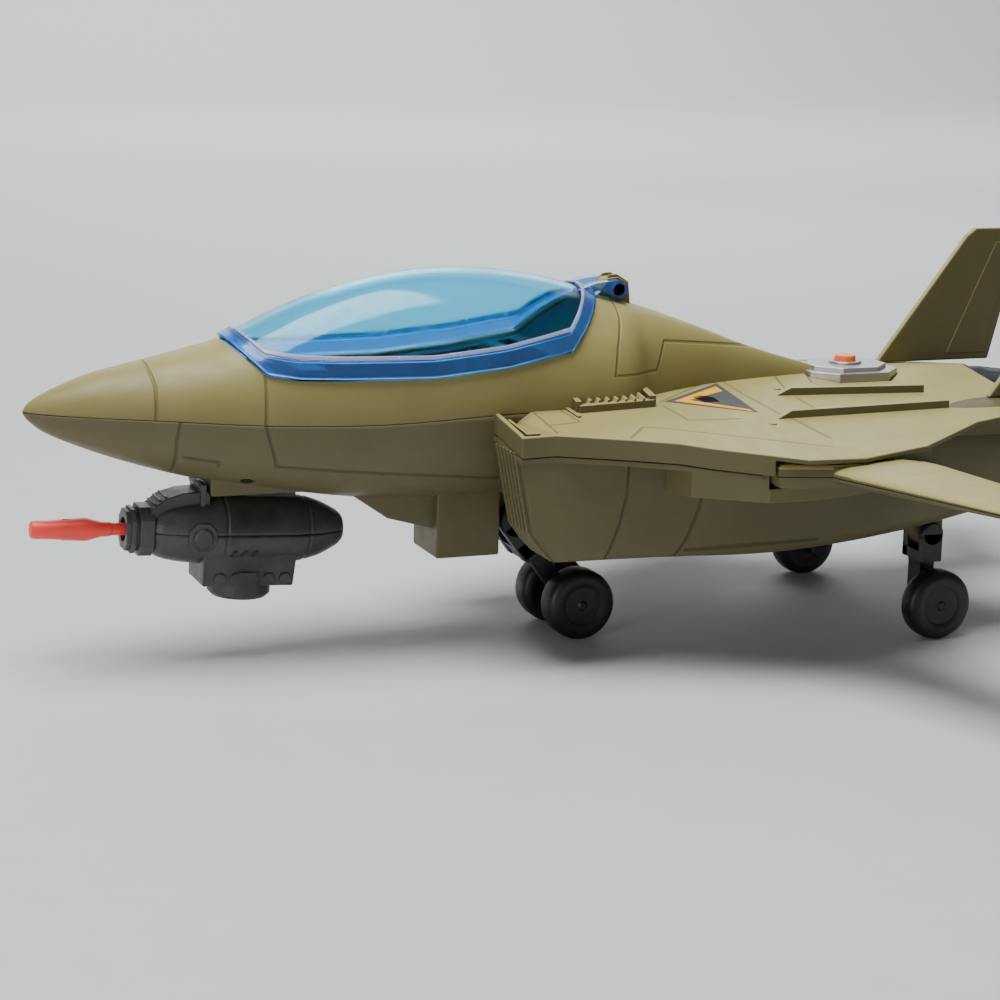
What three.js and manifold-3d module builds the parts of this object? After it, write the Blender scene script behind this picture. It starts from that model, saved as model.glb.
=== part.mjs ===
// Toy jet aircraft with a swing wing, built as separate moulded pieces.
// Units are millimetres. Inside the model group a station is the distance aft of the nose tip,
// port is -Y, and height 0 is the height of the nose tip.
import * as THREE from 'three';
import { mergeVertices } from 'three/addons/utils/BufferGeometryUtils.js';
import Module from 'manifold-3d';

const wasm = await Module();
wasm.setup();

// ---- Driving dimensions -------------------------------------------------------------------
const LENGTH = 412;                 // nose tip to the trailing edge of the stabilators
const GAP = 0.3;                    // clearance between pieces that touch or turn
const WALL = 2;                     // thickness of the moulded shells
const GROUND = 86.7;                // nose tip above the surface the wheels stand on

const HULL_END = 200;               // forward fuselage ends and the spine goes on
const HULL_TOP = [[0, 1.2], [4, 3.6], [12, 7.7], [23, 11.8], [40, 15.6], [56, 19.3], [64, 21.3],
  [72, 25], [91, 33.2], [112, 39.4], [133, 42.8], [154, 43], [175, 40.3], [192, 36], [200, 33]];
const HULL_FLOOR = [[0, -1.2], [7, -6.9], [22, -13.6], [37, -18.9], [55, -24], [75, -27.8],
  [95, -31.2], [113, -33.6], [140, -35], [200, -35.5]];
const HULL_HALF_WIDTH = [[0, 1.2], [6, 5.4], [12, 8.6], [23, 13], [38, 17.4], [55, 21.4],
  [75, 25.2], [95, 28], [120, 30], [150, 31], [200, 29]];
const HULL_SEAM = [[0, 0], [38, -1.4], [75, -3.4], [100, -4], [120, -3.8], [155, -2.2], [200, -2]];
const SILL = [[64, 22.4], [75, 12.2], [85, 10.8], [100, 10.4], [130, 10.4], [156, 12.9], [180, 17.2],
  [197, 35]];                       // side outline of the canopy's lower edge

const SPINE = { start: 196, end: 288 };
const SPINE_TOP = [[196, 33.6], [212, 29.8], [237, 21.4], [260, 12.8], [288, 4.4]];
const SPINE_HALF_WIDTH = [[196, 29.2], [206, 25], [213, 20], [240, 10.5], [262, 6.5], [288, 4]];

const DECK = { start: 150, crown: 3, slope: 0.15, rim: 7, roof: 1.6 };
const DECK_OUTLINE = [[150.5, 0], [150.5, 55.5], [163, 54.8], [186.5, 62.4], [201, 68], [210.5, 74.3],
  [237.5, 89], [258, 90], [286, 82], [318, 62], [350, 52], [350, 0]];
const SLOT_START = 228.2;            // station where the wing slot opens in the deck's rim
const SLOT_INNER = 56.2;             // the slot reaches in to the side of the engine nacelle

const NACELLE = { start: 150, end: 375 };
const NACELLE_Y = [[150, 41.8], [250, 41.8], [320, 39], [375, 37]];
const NACELLE_HALF_WIDTH = [[150, 11.8], [250, 12.2], [300, 15.5], [340, 17.5], [375, 16]];
const NACELLE_TOP = [[150, -9], [250, -8], [300, -4.5], [340, -2.5], [375, -4]];
const NACELLE_FLOOR = [[150, -48.6], [200, -49.6], [250, -51], [300, -47], [340, -41], [375, -37]];
const NACELLE_POWER = [[150, 10], [250, 7], [320, 3], [375, 2.2]];
const INTAKE_RAKE = [[150, -4], [151, -11], [156.5, -38], [161, -44], [167, -50.5]];

const CENTRE = { start: 190, end: 350, halfWidth: 31, floor: -35.5, tailFloor: -19, top: -3.9 };
const PAN_OUTLINE = [[203.5, 50], [203.5, 53.5], [207.2, 65.2], [228.6, 80.2], [246, 80.6], [262, 77],
  [290, 66], [304, 58], [304, 50]];
const PAN = { floor: -26, lip: -21.2, floorThickness: 1.8 };

const BELLY_BOX = { start: 138, end: 161, halfWidth: 12, floor: -55 };
const PYLON = { start: 60, end: 92.5, halfWidth: 8, floor: -29.8 };

const CANOPY = { proud: 0.9, wall: 2, gap: 0.35, frame: 5.2, frameProud: 1.6 };
const CANOPY_HINGE = { station: 204.5, height: 35.4, pin: 1.4, lugHalf: 4, armIn: 4.4, armOut: 8.6 };

const WING = { pivot: [240.2, 68], lobe: 11.4, top: -12.6, floor: -20.4, split: -16.5 };
const WING_PLAN = { leadRoot: 246, trailRoot: 287.6, leadTip: 274, trailTip: 299, root: 88, tip: 168 };

const NOSE_GEAR = { station: 169, height: -44.5, leg: 37, sweep: 36.6, wheelY: 12 };
const MAIN_GEAR = { station: 314, y: 38, height: -50, leg: 24.2, wheelOffset: 11 };
const WHEEL = { radius: 12.5, noseWidth: 11, mainWidth: 9, hub: 6.2 };
const PIN_RADIUS = 1.5;

const POD = { station: 66, height: -42.2, pitch: 3 };
const MODULE = { start: 282, end: 318, halfWidth: 15, step: 3.7, top: 5.2, collar: 6.2,
  button: 300, buttonTop: 8.2 };

// corner taken off the wing's root so that it clears the nacelle when swept back
const WING_CLIP = [[280.6, 80], [280.6, 87], [292, 96.6], [292, 80]];

// ---- Finishes -------------------------------------------------------------------------------
const finish = {
  olive: () => new THREE.MeshStandardMaterial({ color: 0x77744f, roughness: 0.55 }),
  black: () => new THREE.MeshStandardMaterial({ color: 0x222225, roughness: 0.5 }),
  darkGrey: () => new THREE.MeshStandardMaterial({ color: 0x34363a, roughness: 0.6 }),
  blueClear: () => new THREE.MeshStandardMaterial({ color: 0x1570d2, roughness: 0.1, opacity: 0.5, transparent: true }),
  red: () => new THREE.MeshStandardMaterial({ color: 0xf4504e, roughness: 0.4 }),
  orange: () => new THREE.MeshStandardMaterial({ color: 0xe2562b, roughness: 0.4 }),
  silver: () => new THREE.MeshStandardMaterial({ color: 0xa4a7ab, roughness: 0.35, metalness: 0.6 }),
  steel: () => new THREE.MeshStandardMaterial({ color: 0xb8babd, roughness: 0.3, metalness: 1 }),
  board: () => new THREE.MeshStandardMaterial({ color: 0x1f6a3a, roughness: 0.6 }),
};

// ---- Solid helpers --------------------------------------------------------------------------
// A closed geometry becomes a solid for joining and cutting.
function toSolid(geometry) {
  const bare = geometry.clone();
  bare.deleteAttribute('normal');
  bare.deleteAttribute('uv');
  const merged = mergeVertices(bare, 1e-4);
  const index = merged.index.array;
  const triangles = [];
  for (let i = 0; i < index.length; i += 3) {
    const [a, b, c] = [index[i], index[i + 1], index[i + 2]];
    if (a !== b && b !== c && c !== a) triangles.push(a, b, c);
  }
  const mesh = new wasm.Mesh({
    numProp: 3,
    vertProperties: Float32Array.from(merged.attributes.position.array),
    triVerts: Uint32Array.from(triangles),
  });
  return new wasm.Manifold(mesh);
}

function toGeometry(solid) {
  const mesh = solid.getMesh();
  const geometry = new THREE.BufferGeometry();
  geometry.setAttribute('position', new THREE.BufferAttribute(mesh.vertProperties, 3));
  geometry.setIndex(new THREE.BufferAttribute(mesh.triVerts, 1));
  geometry.computeVertexNormals();
  return geometry;
}

const join = (first, ...rest) => rest.reduce((sum, solid) => sum.add(solid), first);
const cut = (first, ...rest) => rest.reduce((sum, solid) => sum.subtract(solid), first);
const common = (a, b) => a.intersect(b);

// Smooth value through [station, value] pairs, held flat past both ends.
function along(points) {
  const slope = points.map((p, i) => {
    const before = points[Math.max(i - 1, 0)];
    const after = points[Math.min(i + 1, points.length - 1)];
    return (after[1] - before[1]) / (after[0] - before[0]);
  });
  return (x) => {
    if (x <= points[0][0]) return points[0][1];
    let i = points.length - 2;
    while (i > 0 && points[i][0] > x) i -= 1;
    const [x0, y0] = points[i];
    const [x1, y1] = points[i + 1];
    if (x >= x1) return y1;
    const h = x1 - x0;
    const t = (x - x0) / h;
    return y0 * (1 + 2 * t) * (1 - t) ** 2 + slope[i] * h * t * (1 - t) ** 2
      + y1 * t * t * (3 - 2 * t) + slope[i + 1] * h * t * t * (t - 1);
  };
}

const hullTop = along(HULL_TOP);
const hullFloor = along(HULL_FLOOR);
const hullHalfWidth = along(HULL_HALF_WIDTH);
const hullSeam = along(HULL_SEAM);
const signedPower = (v, p) => (Math.abs(v) < 1e-6 ? 0 : Math.sign(v) * Math.abs(v) ** p);

// A body through the given stations; ring(x, angle) gives a point [y, z] of the section there.
function loft(stations, sides, ring, middle) {
  const steps = stations.length - 1;
  const geometry = new THREE.CylinderGeometry(1, 1, 1, sides, steps);
  const position = geometry.attributes.position;
  for (let i = 0; i < position.count; i += 1) {
    const x = stations[Math.round((0.5 - position.getY(i)) * steps)];
    const radius = Math.hypot(position.getX(i), position.getZ(i));
    const angle = Math.atan2(position.getX(i), position.getZ(i));
    const [y, z] = ring(x, angle);
    const [my, mz] = middle(x);
    position.setXYZ(i, x, my + (y - my) * radius, mz + (z - mz) * radius);
  }
  return geometry;
}

const spread = (from, to, steps) => Array.from({ length: steps + 1 }, (_, i) => from + ((to - from) * i) / steps);

// Prisms of a flat outline: up (plan outline), across (side outline) and aft (cross section).
function prism(points, from, to, basis) {
  const shape = new THREE.Shape(points.map(([a, b]) => new THREE.Vector2(a, b)));
  const geometry = new THREE.ExtrudeGeometry(shape, { depth: to - from, bevelEnabled: false });
  geometry.translate(0, 0, from);
  if (basis) geometry.applyMatrix4(basis);
  return geometry;
}
const AXES = [new THREE.Vector3(1, 0, 0), new THREE.Vector3(0, 1, 0), new THREE.Vector3(0, 0, 1)];
const AFT = new THREE.Matrix4().makeBasis(AXES[1], AXES[2], AXES[0]);
const ACROSS = new THREE.Matrix4().makeBasis(AXES[0], AXES[2], AXES[1].clone().negate());
const upPrism = (points, z0, z1) => toSolid(prism(points, z0, z1));
const aftPrism = (points, x0, x1) => toSolid(prism(points, x0, x1, AFT));
const sidePrism = (points, y0, y1) => toSolid(prism(points, -y1, -y0, ACROSS));

const planOf = (points, side) => points.map(([x, y]) => [x, side * y]);

function block(x0, x1, y0, y1, z0, z1) {
  const geometry = new THREE.BoxGeometry(x1 - x0, y1 - y0, z1 - z0);
  geometry.translate((x0 + x1) / 2, (y0 + y1) / 2, (z0 + z1) / 2);
  return toSolid(geometry);
}

// A round bar between two heights, stations or offsets, along one axis.
function bar(axis, from, to, radius, at, sides = 16) {
  const geometry = new THREE.CylinderGeometry(radius, radius, to - from, sides);
  if (axis === 'x') geometry.rotateZ(-Math.PI / 2);
  if (axis === 'z') geometry.rotateX(Math.PI / 2);
  const middle = (from + to) / 2;
  if (axis === 'x') geometry.translate(middle, at[0], at[1]);
  if (axis === 'y') geometry.translate(at[0], middle, at[1]);
  if (axis === 'z') geometry.translate(at[0], at[1], middle);
  return toSolid(geometry);
}

// Moves the straight edges of a counter-clockwise plan outline inwards.
function inset(points, distance) {
  return points.map((p, i) => {
    const a = points[(i + points.length - 1) % points.length];
    const b = points[(i + 1) % points.length];
    const n1 = new THREE.Vector2(a[1] - p[1], p[0] - a[0]).normalize();
    const n2 = new THREE.Vector2(p[1] - b[1], b[0] - p[0]).normalize();
    const scale = distance / (1 + n1.dot(n2));
    return [p[0] + (n1.x + n2.x) * scale, p[1] + (n1.y + n2.y) * scale];
  });
}

const meshes = new THREE.Group();
function add(name, solid, material, place = {}) {
  const geometry = solid.isBufferGeometry ? solid : toGeometry(solid);
  const mesh = new THREE.Mesh(geometry, material);
  mesh.name = name;
  if (place.position) mesh.position.set(...place.position);
  if (place.rotation) mesh.rotation.set(...place.rotation);
  (place.parent ?? meshes).add(mesh);
  return mesh;
}

// ---- Fuselage bodies ------------------------------------------------------------------------
function hullBody(shrink, from, to, grow = 0) {
  const between = shrink > 0 ? [23, 48, 64, 82, 112, 150, 182]
    : [4, 12, 23, 38, 55, 64, 72, 82, 95, 112, 133, 154, 175, 188];
  const stations = [from, ...between.filter((x) => x > from && x < to), to];
  const ring = (x, angle) => {
    const seam = hullSeam(x);
    const top = Math.max(hullTop(x) - shrink + grow, seam + 0.6);
    const floor = Math.min(hullFloor(x) + shrink, seam - 0.6);
    const half = Math.max(hullHalfWidth(x) - shrink + grow, 0.6);
    const up = Math.cos(angle);
    const reach = up > 0 ? top - seam : seam - floor;
    return [half * Math.sin(angle), seam + reach * up];
  };
  return toSolid(loft(stations, shrink > 0 ? 16 : 24, ring, (x) => [0, hullSeam(x)]));
}

function spineBody(shrink) {
  const top = along(SPINE_TOP);
  const half = along(SPINE_HALF_WIDTH);
  const stations = [SPINE.start - shrink * 2, 206, 213, 226, 240, 262, SPINE.end - shrink * 4];
  const ring = (x, angle) => {
    const w = Math.max(half(x) - shrink, 1);
    const up = Math.cos(angle);
    const base = -6;
    const reach = up > 0 ? Math.max(top(x) - shrink - base, 2) : 4;
    return [w * signedPower(Math.sin(angle), 0.9), base + reach * signedPower(up, 0.9)];
  };
  return toSolid(loft(stations, 16, ring, () => [0, -6]));
}

const deckTop = (y) => DECK.crown - DECK.slope * Math.abs(y);

// A slab between two planes that follow the deck, given as depths below its top.
function deckSlab(depthTop, depthFloor, x0, x1) {
  const edge = 120;
  return aftPrism([[-edge, deckTop(edge) - depthTop], [-edge, deckTop(edge) - depthFloor],
    [0, DECK.crown - depthFloor], [edge, deckTop(edge) - depthFloor], [edge, deckTop(edge) - depthTop],
    [0, DECK.crown - depthTop]], x0, x1);
}

function bothSides(outline) {
  const port = outline.map(([x, y]) => [x, -y]).reverse();
  return outline.filter(([, y]) => y !== 0).concat(port.filter(([, y]) => y !== 0));
}

function deckBody(shrink, depthTop, depthFloor) {
  const outline = bothSides(DECK_OUTLINE);
  const plan = shrink > 0 ? inset(outline.slice().reverse(), shrink) : outline;
  return common(deckSlab(depthTop, depthFloor, 140, 360), upPrism(plan, -60, 20));
}

function nacelleBody(side, shrink, from, to) {
  const at = along(NACELLE_Y);
  const half = along(NACELLE_HALF_WIDTH);
  const top = along(NACELLE_TOP);
  const floor = along(NACELLE_FLOOR);
  const power = along(NACELLE_POWER);
  const ring = (x, angle) => {
    const middle = (top(x) + floor(x)) / 2;
    const reach = (top(x) - floor(x)) / 2 - shrink;
    const p = 2 / power(x);
    return [side * at(x) + (half(x) - shrink) * signedPower(Math.sin(angle), p),
      middle + reach * signedPower(Math.cos(angle), p)];
  };
  const stations = [from, 200, 250, 275, 300, 320, 345, to];
  return toSolid(loft(stations, 16, ring, (x) => [side * at(x), (top(x) + floor(x)) / 2]));
}

function centreBody(shrink) {
  const w = CENTRE.halfWidth - shrink;
  const floor = CENTRE.floor + shrink;
  const tail = CENTRE.end - shrink;
  return sidePrism([[CENTRE.start, CENTRE.top], [CENTRE.start, floor], [262, floor],
    [tail, CENTRE.tailFloor + shrink], [tail, CENTRE.top]], -w, w);
}

function panBody(side, shrink, bottom, top) {
  const outline = planOf(PAN_OUTLINE, side);
  const turned = side > 0 ? outline.slice().reverse() : outline;
  return upPrism(shrink > 0 ? inset(turned, shrink) : turned, bottom, top);
}

// Everything under the parting surface between the two shells, moved up by lift.
function underParting(lift) {
  const line = spread(-5, DECK.start, 24).map((x) => [x, hullSeam(x) + lift]);
  const nose = sidePrism([...line, [DECK.start, -90], [-5, -90]], -60, 60);
  const edge = 120;
  const level = (y) => deckTop(y) - DECK.rim + lift;
  const rear = aftPrism([[-edge, level(edge)], [-edge, -90], [edge, -90], [edge, level(edge)], [0, level(0)]],
    DECK.start, 420);
  return join(nose, rear);
}

// Everything above the side outline of the canopy's edge, moved up by lift.
function aboveSill(lift) {
  const line = SILL.map(([x, z]) => [x, z + lift]);
  const first = [SILL[0][0] - 8, 60];
  const last = [SILL.at(-1)[0] + 1, 60];
  return sidePrism([first, ...line, last].reverse(), -50, 50);
}

// ---- Screws ---------------------------------------------------------------------------------
// Each screw stands upright: its seat is the underside of the head, its tip the end of the shank.
const BODY_SCREWS = {
  nose: { at: [56, 0], seat: -19.5, tip: 2 },
  belly_port: { at: [207, -15], seat: -31, tip: 0 },
  belly_starboard: { at: [207, 15], seat: -31, tip: 0 },
  centre: { at: [242, 0], seat: -31, tip: 2 },
  tail_port: { at: [330, -14], seat: -19.5, tip: -5 },
  tail_starboard: { at: [330, 14], seat: -19.5, tip: -5 },
};
const SCREW = { head: 2.6, headHeight: 1.8, shank: 1.1, boss: 3.2, meet: -11 };

function screwSolid(seat, tip) {
  return join(bar('z', seat - SCREW.headHeight, seat, SCREW.head, [0, 0], 10),
    bar('z', seat - 0.5, tip, SCREW.shank, [0, 0], 8));
}

function screwBore({ at, seat, tip }) {
  return join(bar('z', seat - 30, seat + 0.1, SCREW.head + GAP, at, 10),
    bar('z', seat - 5, tip + 1, SCREW.shank + GAP, at, 8));
}

// ---- Shells ---------------------------------------------------------------------------------
const SIDES = [-1, 1];
const sideName = (side) => (side < 0 ? 'port' : 'starboard');

function gearLug(station, y, height, base, half) {
  return sidePrism([[station - 6, base], [station - 6, height], [station - 3, height - 4], [station + 3, height - 4],
    [station + 6, height], [station + 6, base]].reverse(), y - half, y + half);
}

function fuselageOutside() {
  const rake = sidePrism([...INTAKE_RAKE, [167, -70], [130, -70], [130, -4]].reverse(), -70, 70);
  const nacelles = SIDES.map((s) => cut(nacelleBody(s, 0, NACELLE.start, NACELLE.end), rake));
  const box = BELLY_BOX;
  return join(hullBody(0, 0, HULL_END), spineBody(0), deckBody(0, 0, DECK.rim + WALL), ...nacelles, centreBody(0),
    ...SIDES.map((s) => panBody(s, 0, PAN.floor, -14)),
    block(box.start, box.end, -box.halfWidth, box.halfWidth, box.floor, -28),
    sidePrism([[108, -28], [109.5, -32.4], [121.5, -40.6], [139, -45.4], [139, -28]].reverse(), -8.5, 8.5),
    block(PYLON.start, PYLON.end, -PYLON.halfWidth, PYLON.halfWidth, PYLON.floor, -20),
    gearLug(NOSE_GEAR.station, 0, NOSE_GEAR.height, -34, 3.9),
    ...SIDES.map((s) => gearLug(MAIN_GEAR.station, s * MAIN_GEAR.y, MAIN_GEAR.height, -43, 3.4)));
}

function fuselageInside() {
  const box = BELLY_BOX;
  return join(hullBody(WALL, 8, HULL_END + 3), spineBody(WALL), deckBody(WALL, DECK.roof, DECK.rim + GAP),
    ...SIDES.map((s) => nacelleBody(s, WALL, 172, NACELLE.end + 5)), centreBody(WALL),
    ...SIDES.map((s) => panBody(s, WALL, PAN.floor + PAN.floorThickness, -14)),
    block(box.start + WALL, box.end - WALL, 1.2 - box.halfWidth, box.halfWidth - 1.2, box.floor - 5, -20));
}

function buildShells() {
  const outside = fuselageOutside();
  const shell = cut(outside, fuselageInside());
  const screws = Object.values(BODY_SCREWS);
  const bores = join(...screws.map(screwBore));
  const pivotAt = (s) => [WING.pivot[0], s * WING.pivot[1]];
  const within = (solids) => solids.map((solid) => common(solid, outside));

  const lowerPosts = within([
    ...screws.map(({ at, seat }) => bar('z', seat - 8, SCREW.meet - GAP, SCREW.boss, at, 10)),
    ...SIDES.map((s) => bar('z', PAN.floor, -24, 5.2, pivotAt(s))),
    block(139, 145, -2.6, 2.6, -52.6, -34)]);
  const upperPosts = within([
    ...screws.map(({ at, tip }) => bar('z', SCREW.meet, Math.max(tip + 24, 2.5), SCREW.boss, at, 10)),
    ...SIDES.map((s) => bar('z', -23.6, -6, 3.5, pivotAt(s)))]);
  const pivotBores = SIDES.map((s) => join(bar('z', -40, PAN.floor + 2, SCREW.head + GAP, pivotAt(s), 14),
    bar('z', -40, -11.6, SCREW.shank + GAP, pivotAt(s), 12)));
  const pinBores = [bar('y', -6, 6, PIN_RADIUS + 0.2, [NOSE_GEAR.station, NOSE_GEAR.height], 12),
    ...SIDES.map((s) => bar('y', s * MAIN_GEAR.y - 6, s * MAIN_GEAR.y + 6, PIN_RADIUS + 0.2,
      [MAIN_GEAR.station, MAIN_GEAR.height], 12))];
  const tailBores = SIDES.flatMap((s) => [block(FIN.tab - 0.4, FIN.tab + 20.4, s * FIN.y - 1.5, s * FIN.y + 1.5, -9, 2),
    bar('y', Math.min(s * 46, s * 60), Math.max(s * 46, s * 60), 2.3, [368, STABILATOR.height], 12)]);
  const moduleHole = upPrism(octagon(MODULE, 0.35), -4.5, 20);
  const doorScrew = bar('z', -60, -47.5, 0.9 + GAP, [142.3, 0], 10);
  const railSlot = block(72, 94, -3.4, 3.4, -32, -26.6);
  // the wing swings through a slot in the outer wall of both shells
  const slots = SIDES.map((s) => {
    const [near, far] = [s * SLOT_INNER, s * 120].sort((a, b) => a - b);
    return common(block(SLOT_START, 370, near, far, PAN.lip, 10), deckSlab(DECK.roof, 40, SLOT_START, 370));
  });
  const lower = cut(common(join(shell, ...lowerPosts), underParting(-GAP / 2)), bores, ...pivotBores, ...pinBores,
    ...tailBores, ...slots, doorScrew, railSlot);
  const upper = cut(join(cut(shell, underParting(GAP / 2)), ...upperPosts), bores, ...pivotBores, ...tailBores,
    ...slots.map((slot) => cut(slot, bar('z', -60, 20, 3.5, pivotAt(-1)), bar('z', -60, 20, 3.5, pivotAt(1)))),
    moduleHole, aboveSill(0));
  return { lower, upper };
}

// ---- Cockpit --------------------------------------------------------------------------------
function cockpitTub() {
  const ledge = common(hullBody(WALL + 0.5, 66, 196), cut(belowSill(-1.1), belowSill(-2.7)));
  const tub = common(block(83, 177, -21, 21, -14, 30), belowSill(-1.5));
  const room = block(84.6, 175.4, -19.4, 19.4, -12.4, 40);
  return cut(join(ledge, tub), room);
}

function belowSill(lift) {
  const line = SILL.map(([x, z]) => [x, z + lift]);
  return sidePrism([[SILL[0][0], -40], ...line, [SILL.at(-1)[0], -40]].reverse(), -50, 50);
}

const pilotSeat = () => sidePrism([[132, -12.1], [132, -4], [134, -2.6], [149, -3.6], [160, 14.5], [165, 15.5],
  [167, 13], [158, -12.1]].reverse(), -11, 11);

// ---- Canopy ---------------------------------------------------------------------------------
function canopySolid() {
  const { gap, proud, wall, frame, frameProud } = CANOPY;
  const bubble = cut(hullBody(0, 62, 199, proud), hullBody(wall - proud, 62, 205));
  const band = cut(hullBody(0, 62, 199, frameProud), hullBody(wall - proud, 62, 205));
  const edge = common(band, cut(aboveSill(gap), aboveSill(gap + frame)));
  const { station, height, armIn, armOut } = CANOPY_HINGE;
  const arm = [[186, 34.4], [196, 37.8], [station, height + 3.3], [station + 3.2, height + 1.2],
    [station + 3.2, height - 1.4], [station + 1, height - 2.9], [station - 2.5, height - 2],
    [197.6, 34.9], [195.6, 33.6], [190, 33.2]].reverse();
  const arms = SIDES.map((s) => sidePrism(arm, s < 0 ? -armOut : armIn, s < 0 ? -armIn : armOut));
  const pinHole = bar('y', -20, 20, CANOPY_HINGE.pin + 0.25, [station, height], 12);
  return cut(join(common(bubble, aboveSill(gap)), edge, ...arms), pinHole);
}

function hingeBracket() {
  const { station, height, lugHalf, pin } = CANOPY_HINGE;
  const lug = sidePrism([[199.2, 28], [199.2, height], [station - 2.5, height + 3.4], [station + 1.5, height + 3.8],
    [station + 5.6, height + 1.6], [station + 6.6, 28]].reverse(), -lugHalf, lugHalf);
  return cut(lug, spineBody(-GAP), hullBody(-GAP, 150, HULL_END), bar('y', -20, 20, pin + 0.25, [station, height], 12));
}

// ---- Wings ----------------------------------------------------------------------------------
function wingBlank(side) {
  const [px, py] = WING.pivot;
  const { leadRoot, trailRoot, leadTip, trailTip, root, tip } = WING_PLAN;
  const lead = (s) => leadRoot + ((leadTip - leadRoot) * (s - root)) / (tip - root);
  const trail = (s) => trailRoot + ((trailTip - trailRoot) * (s - root)) / (tip - root);
  const middle = (WING.top + WING.floor) / 2;
  const half = (s) => (WING.top - WING.floor) / 2 - (2.3 * (s - root)) / (tip - root);
  const flip = side < 0 ? 1 : -1;
  const ring = (s, angle) => {
    const chord = (trail(s) - lead(s)) / 2;
    return [flip * (lead(s) + trail(s)) / 2 + chord * signedPower(Math.sin(angle), 0.8),
      middle + half(s) * signedPower(Math.cos(angle), 0.7)];
  };
  const panel = loft([root, 128, 160, tip], 16, ring, (s) => [flip * (lead(s) + trail(s)) / 2, middle]);
  const turn = new THREE.Matrix4().makeBasis(new THREE.Vector3(0, side, 0), new THREE.Vector3(flip, 0, 0),
    new THREE.Vector3(0, 0, 1));
  panel.applyMatrix4(turn);
  const bridge = planOf([[px - 11.2, py + 1], [px - 10.9, 84], [leadRoot + 0.4, root + 1], [trailRoot - 8, root + 2],
    [px + 6, py - 9.6], [px, py - 11.3]], side);
  const turned = side < 0 ? bridge : bridge.slice().reverse();
  const lobe = bar('z', WING.floor, WING.top, WING.lobe, [px, side * py], 28);
  return cut(join(lobe, upPrism(turned, WING.floor + 0.1, WING.top - 0.1), toSolid(panel)),
    bar('z', -60, 0, 3.9, [px, side * py], 20), upPrism(planOf(WING_CLIP, side), -60, 0));
}

function wingHalves(side) {
  const blank = wingBlank(side);
  return {
    upper: common(blank, block(180, 340, -200, 200, WING.split + GAP / 2, 0)),
    lower: common(blank, block(180, 340, -200, 200, -60, WING.split - GAP / 2)),
  };
}

// ---- Tail -----------------------------------------------------------------------------------
const FIN = { y: 39, thickness: 3, base: -2.1, top: 49, tab: 341 };
const STABILATOR = { height: -20.5, thickness: 3, root: 53.8, tip: 106 };

function tailFin(side) {
  const y = side * FIN.y;
  const blade = sidePrism([[336, FIN.base], [373, FIN.top - 3], [377, FIN.top], [399, FIN.top], [386, FIN.base]]
    .reverse(), y - FIN.thickness / 2, y + FIN.thickness / 2);
  return join(blade, block(FIN.tab, FIN.tab + 20, y - 1.2, y + 1.2, -6, FIN.base + 0.5));
}

function stabilator(side) {
  const plan = planOf([[352, STABILATOR.root], [396, STABILATOR.root], [LENGTH, STABILATOR.tip], [390, STABILATOR.tip]], side);
  const z = STABILATOR.height;
  const blade = upPrism(side > 0 ? plan : plan.slice().reverse(), z - STABILATOR.thickness / 2, z + STABILATOR.thickness / 2);
  const [a, b] = [side * 50.9, side * (STABILATOR.root + 3)].sort((m, n) => m - n);
  return join(cut(blade, nacelleBody(side, -0.35, NACELLE.start, NACELLE.end)), bar('y', a, b, 2, [368, z], 12));
}

function nozzle() {
  const profile = [[0, 369], [13.2, 369], [13.2, 375.4], [15.2, 375.4], [15.6, 380], [13.4, 398], [11.8, 398],
    [13.2, 381], [12.4, 373], [0, 373]];
  const geometry = new THREE.LatheGeometry(profile.map(([r, x]) => new THREE.Vector2(r, x)), 20);
  geometry.rotateZ(-Math.PI / 2);
  return toSolid(geometry);
}

// ---- Wheels and undercarriage legs ------------------------------------------------------------
// A wheel about its own centre, turning on the Y axis, with a dished hub on both faces.
function wheel(width) {
  const h = width / 2;
  const { radius, hub } = WHEEL;
  const bore = PIN_RADIUS + 0.25;
  const profile = [[bore, -h + 1.2], [hub - 1.5, -h + 1.2], [hub, -h], [radius - 2, -h], [radius, -h + 2.2],
    [radius, h - 2.2], [radius - 2, h], [hub, h], [hub - 1.5, h - 1.2], [bore, h - 1.2], [bore, -h + 1.2]];
  return toSolid(new THREE.LatheGeometry(profile.map(([r, y]) => new THREE.Vector2(r, y)), 20));
}

// A leg hangs from its pivot at the origin; the axle is at the bottom.
function noseLeg() {
  const { leg } = NOSE_GEAR;
  const cheeks = SIDES.map((s) => join(bar('y', s < 0 ? -8.4 : 4.3, s < 0 ? -4.3 : 8.4, 5, [0, 0]),
    block(-4.6, 4.6, s < 0 ? -8.4 : 4.3, s < 0 ? -4.3 : 8.4, -12, 0)));
  const web = sidePrism([[-4.6, -7.6], [4.6, -7.6], [4.2, -14], [2.6, -20], [2.6, -leg + 2], [-2.6, -leg + 2],
    [-2.6, -20], [-4.2, -14]].reverse(), -4.4, 4.4);
  const yoke = sidePrism([[-4.6, -7.6], [4.6, -7.6], [3.6, -14], [-3.6, -14]].reverse(), -8.4, 8.4);
  const hub = bar('y', -5.6, 5.6, 3.6, [0, -leg]);
  return cut(join(...cheeks, web, yoke, hub), bar('y', -20, 20, PIN_RADIUS + 0.2, [0, 0], 12),
    bar('y', -20, 20, PIN_RADIUS + 0.1, [0, -leg], 12));
}

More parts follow.
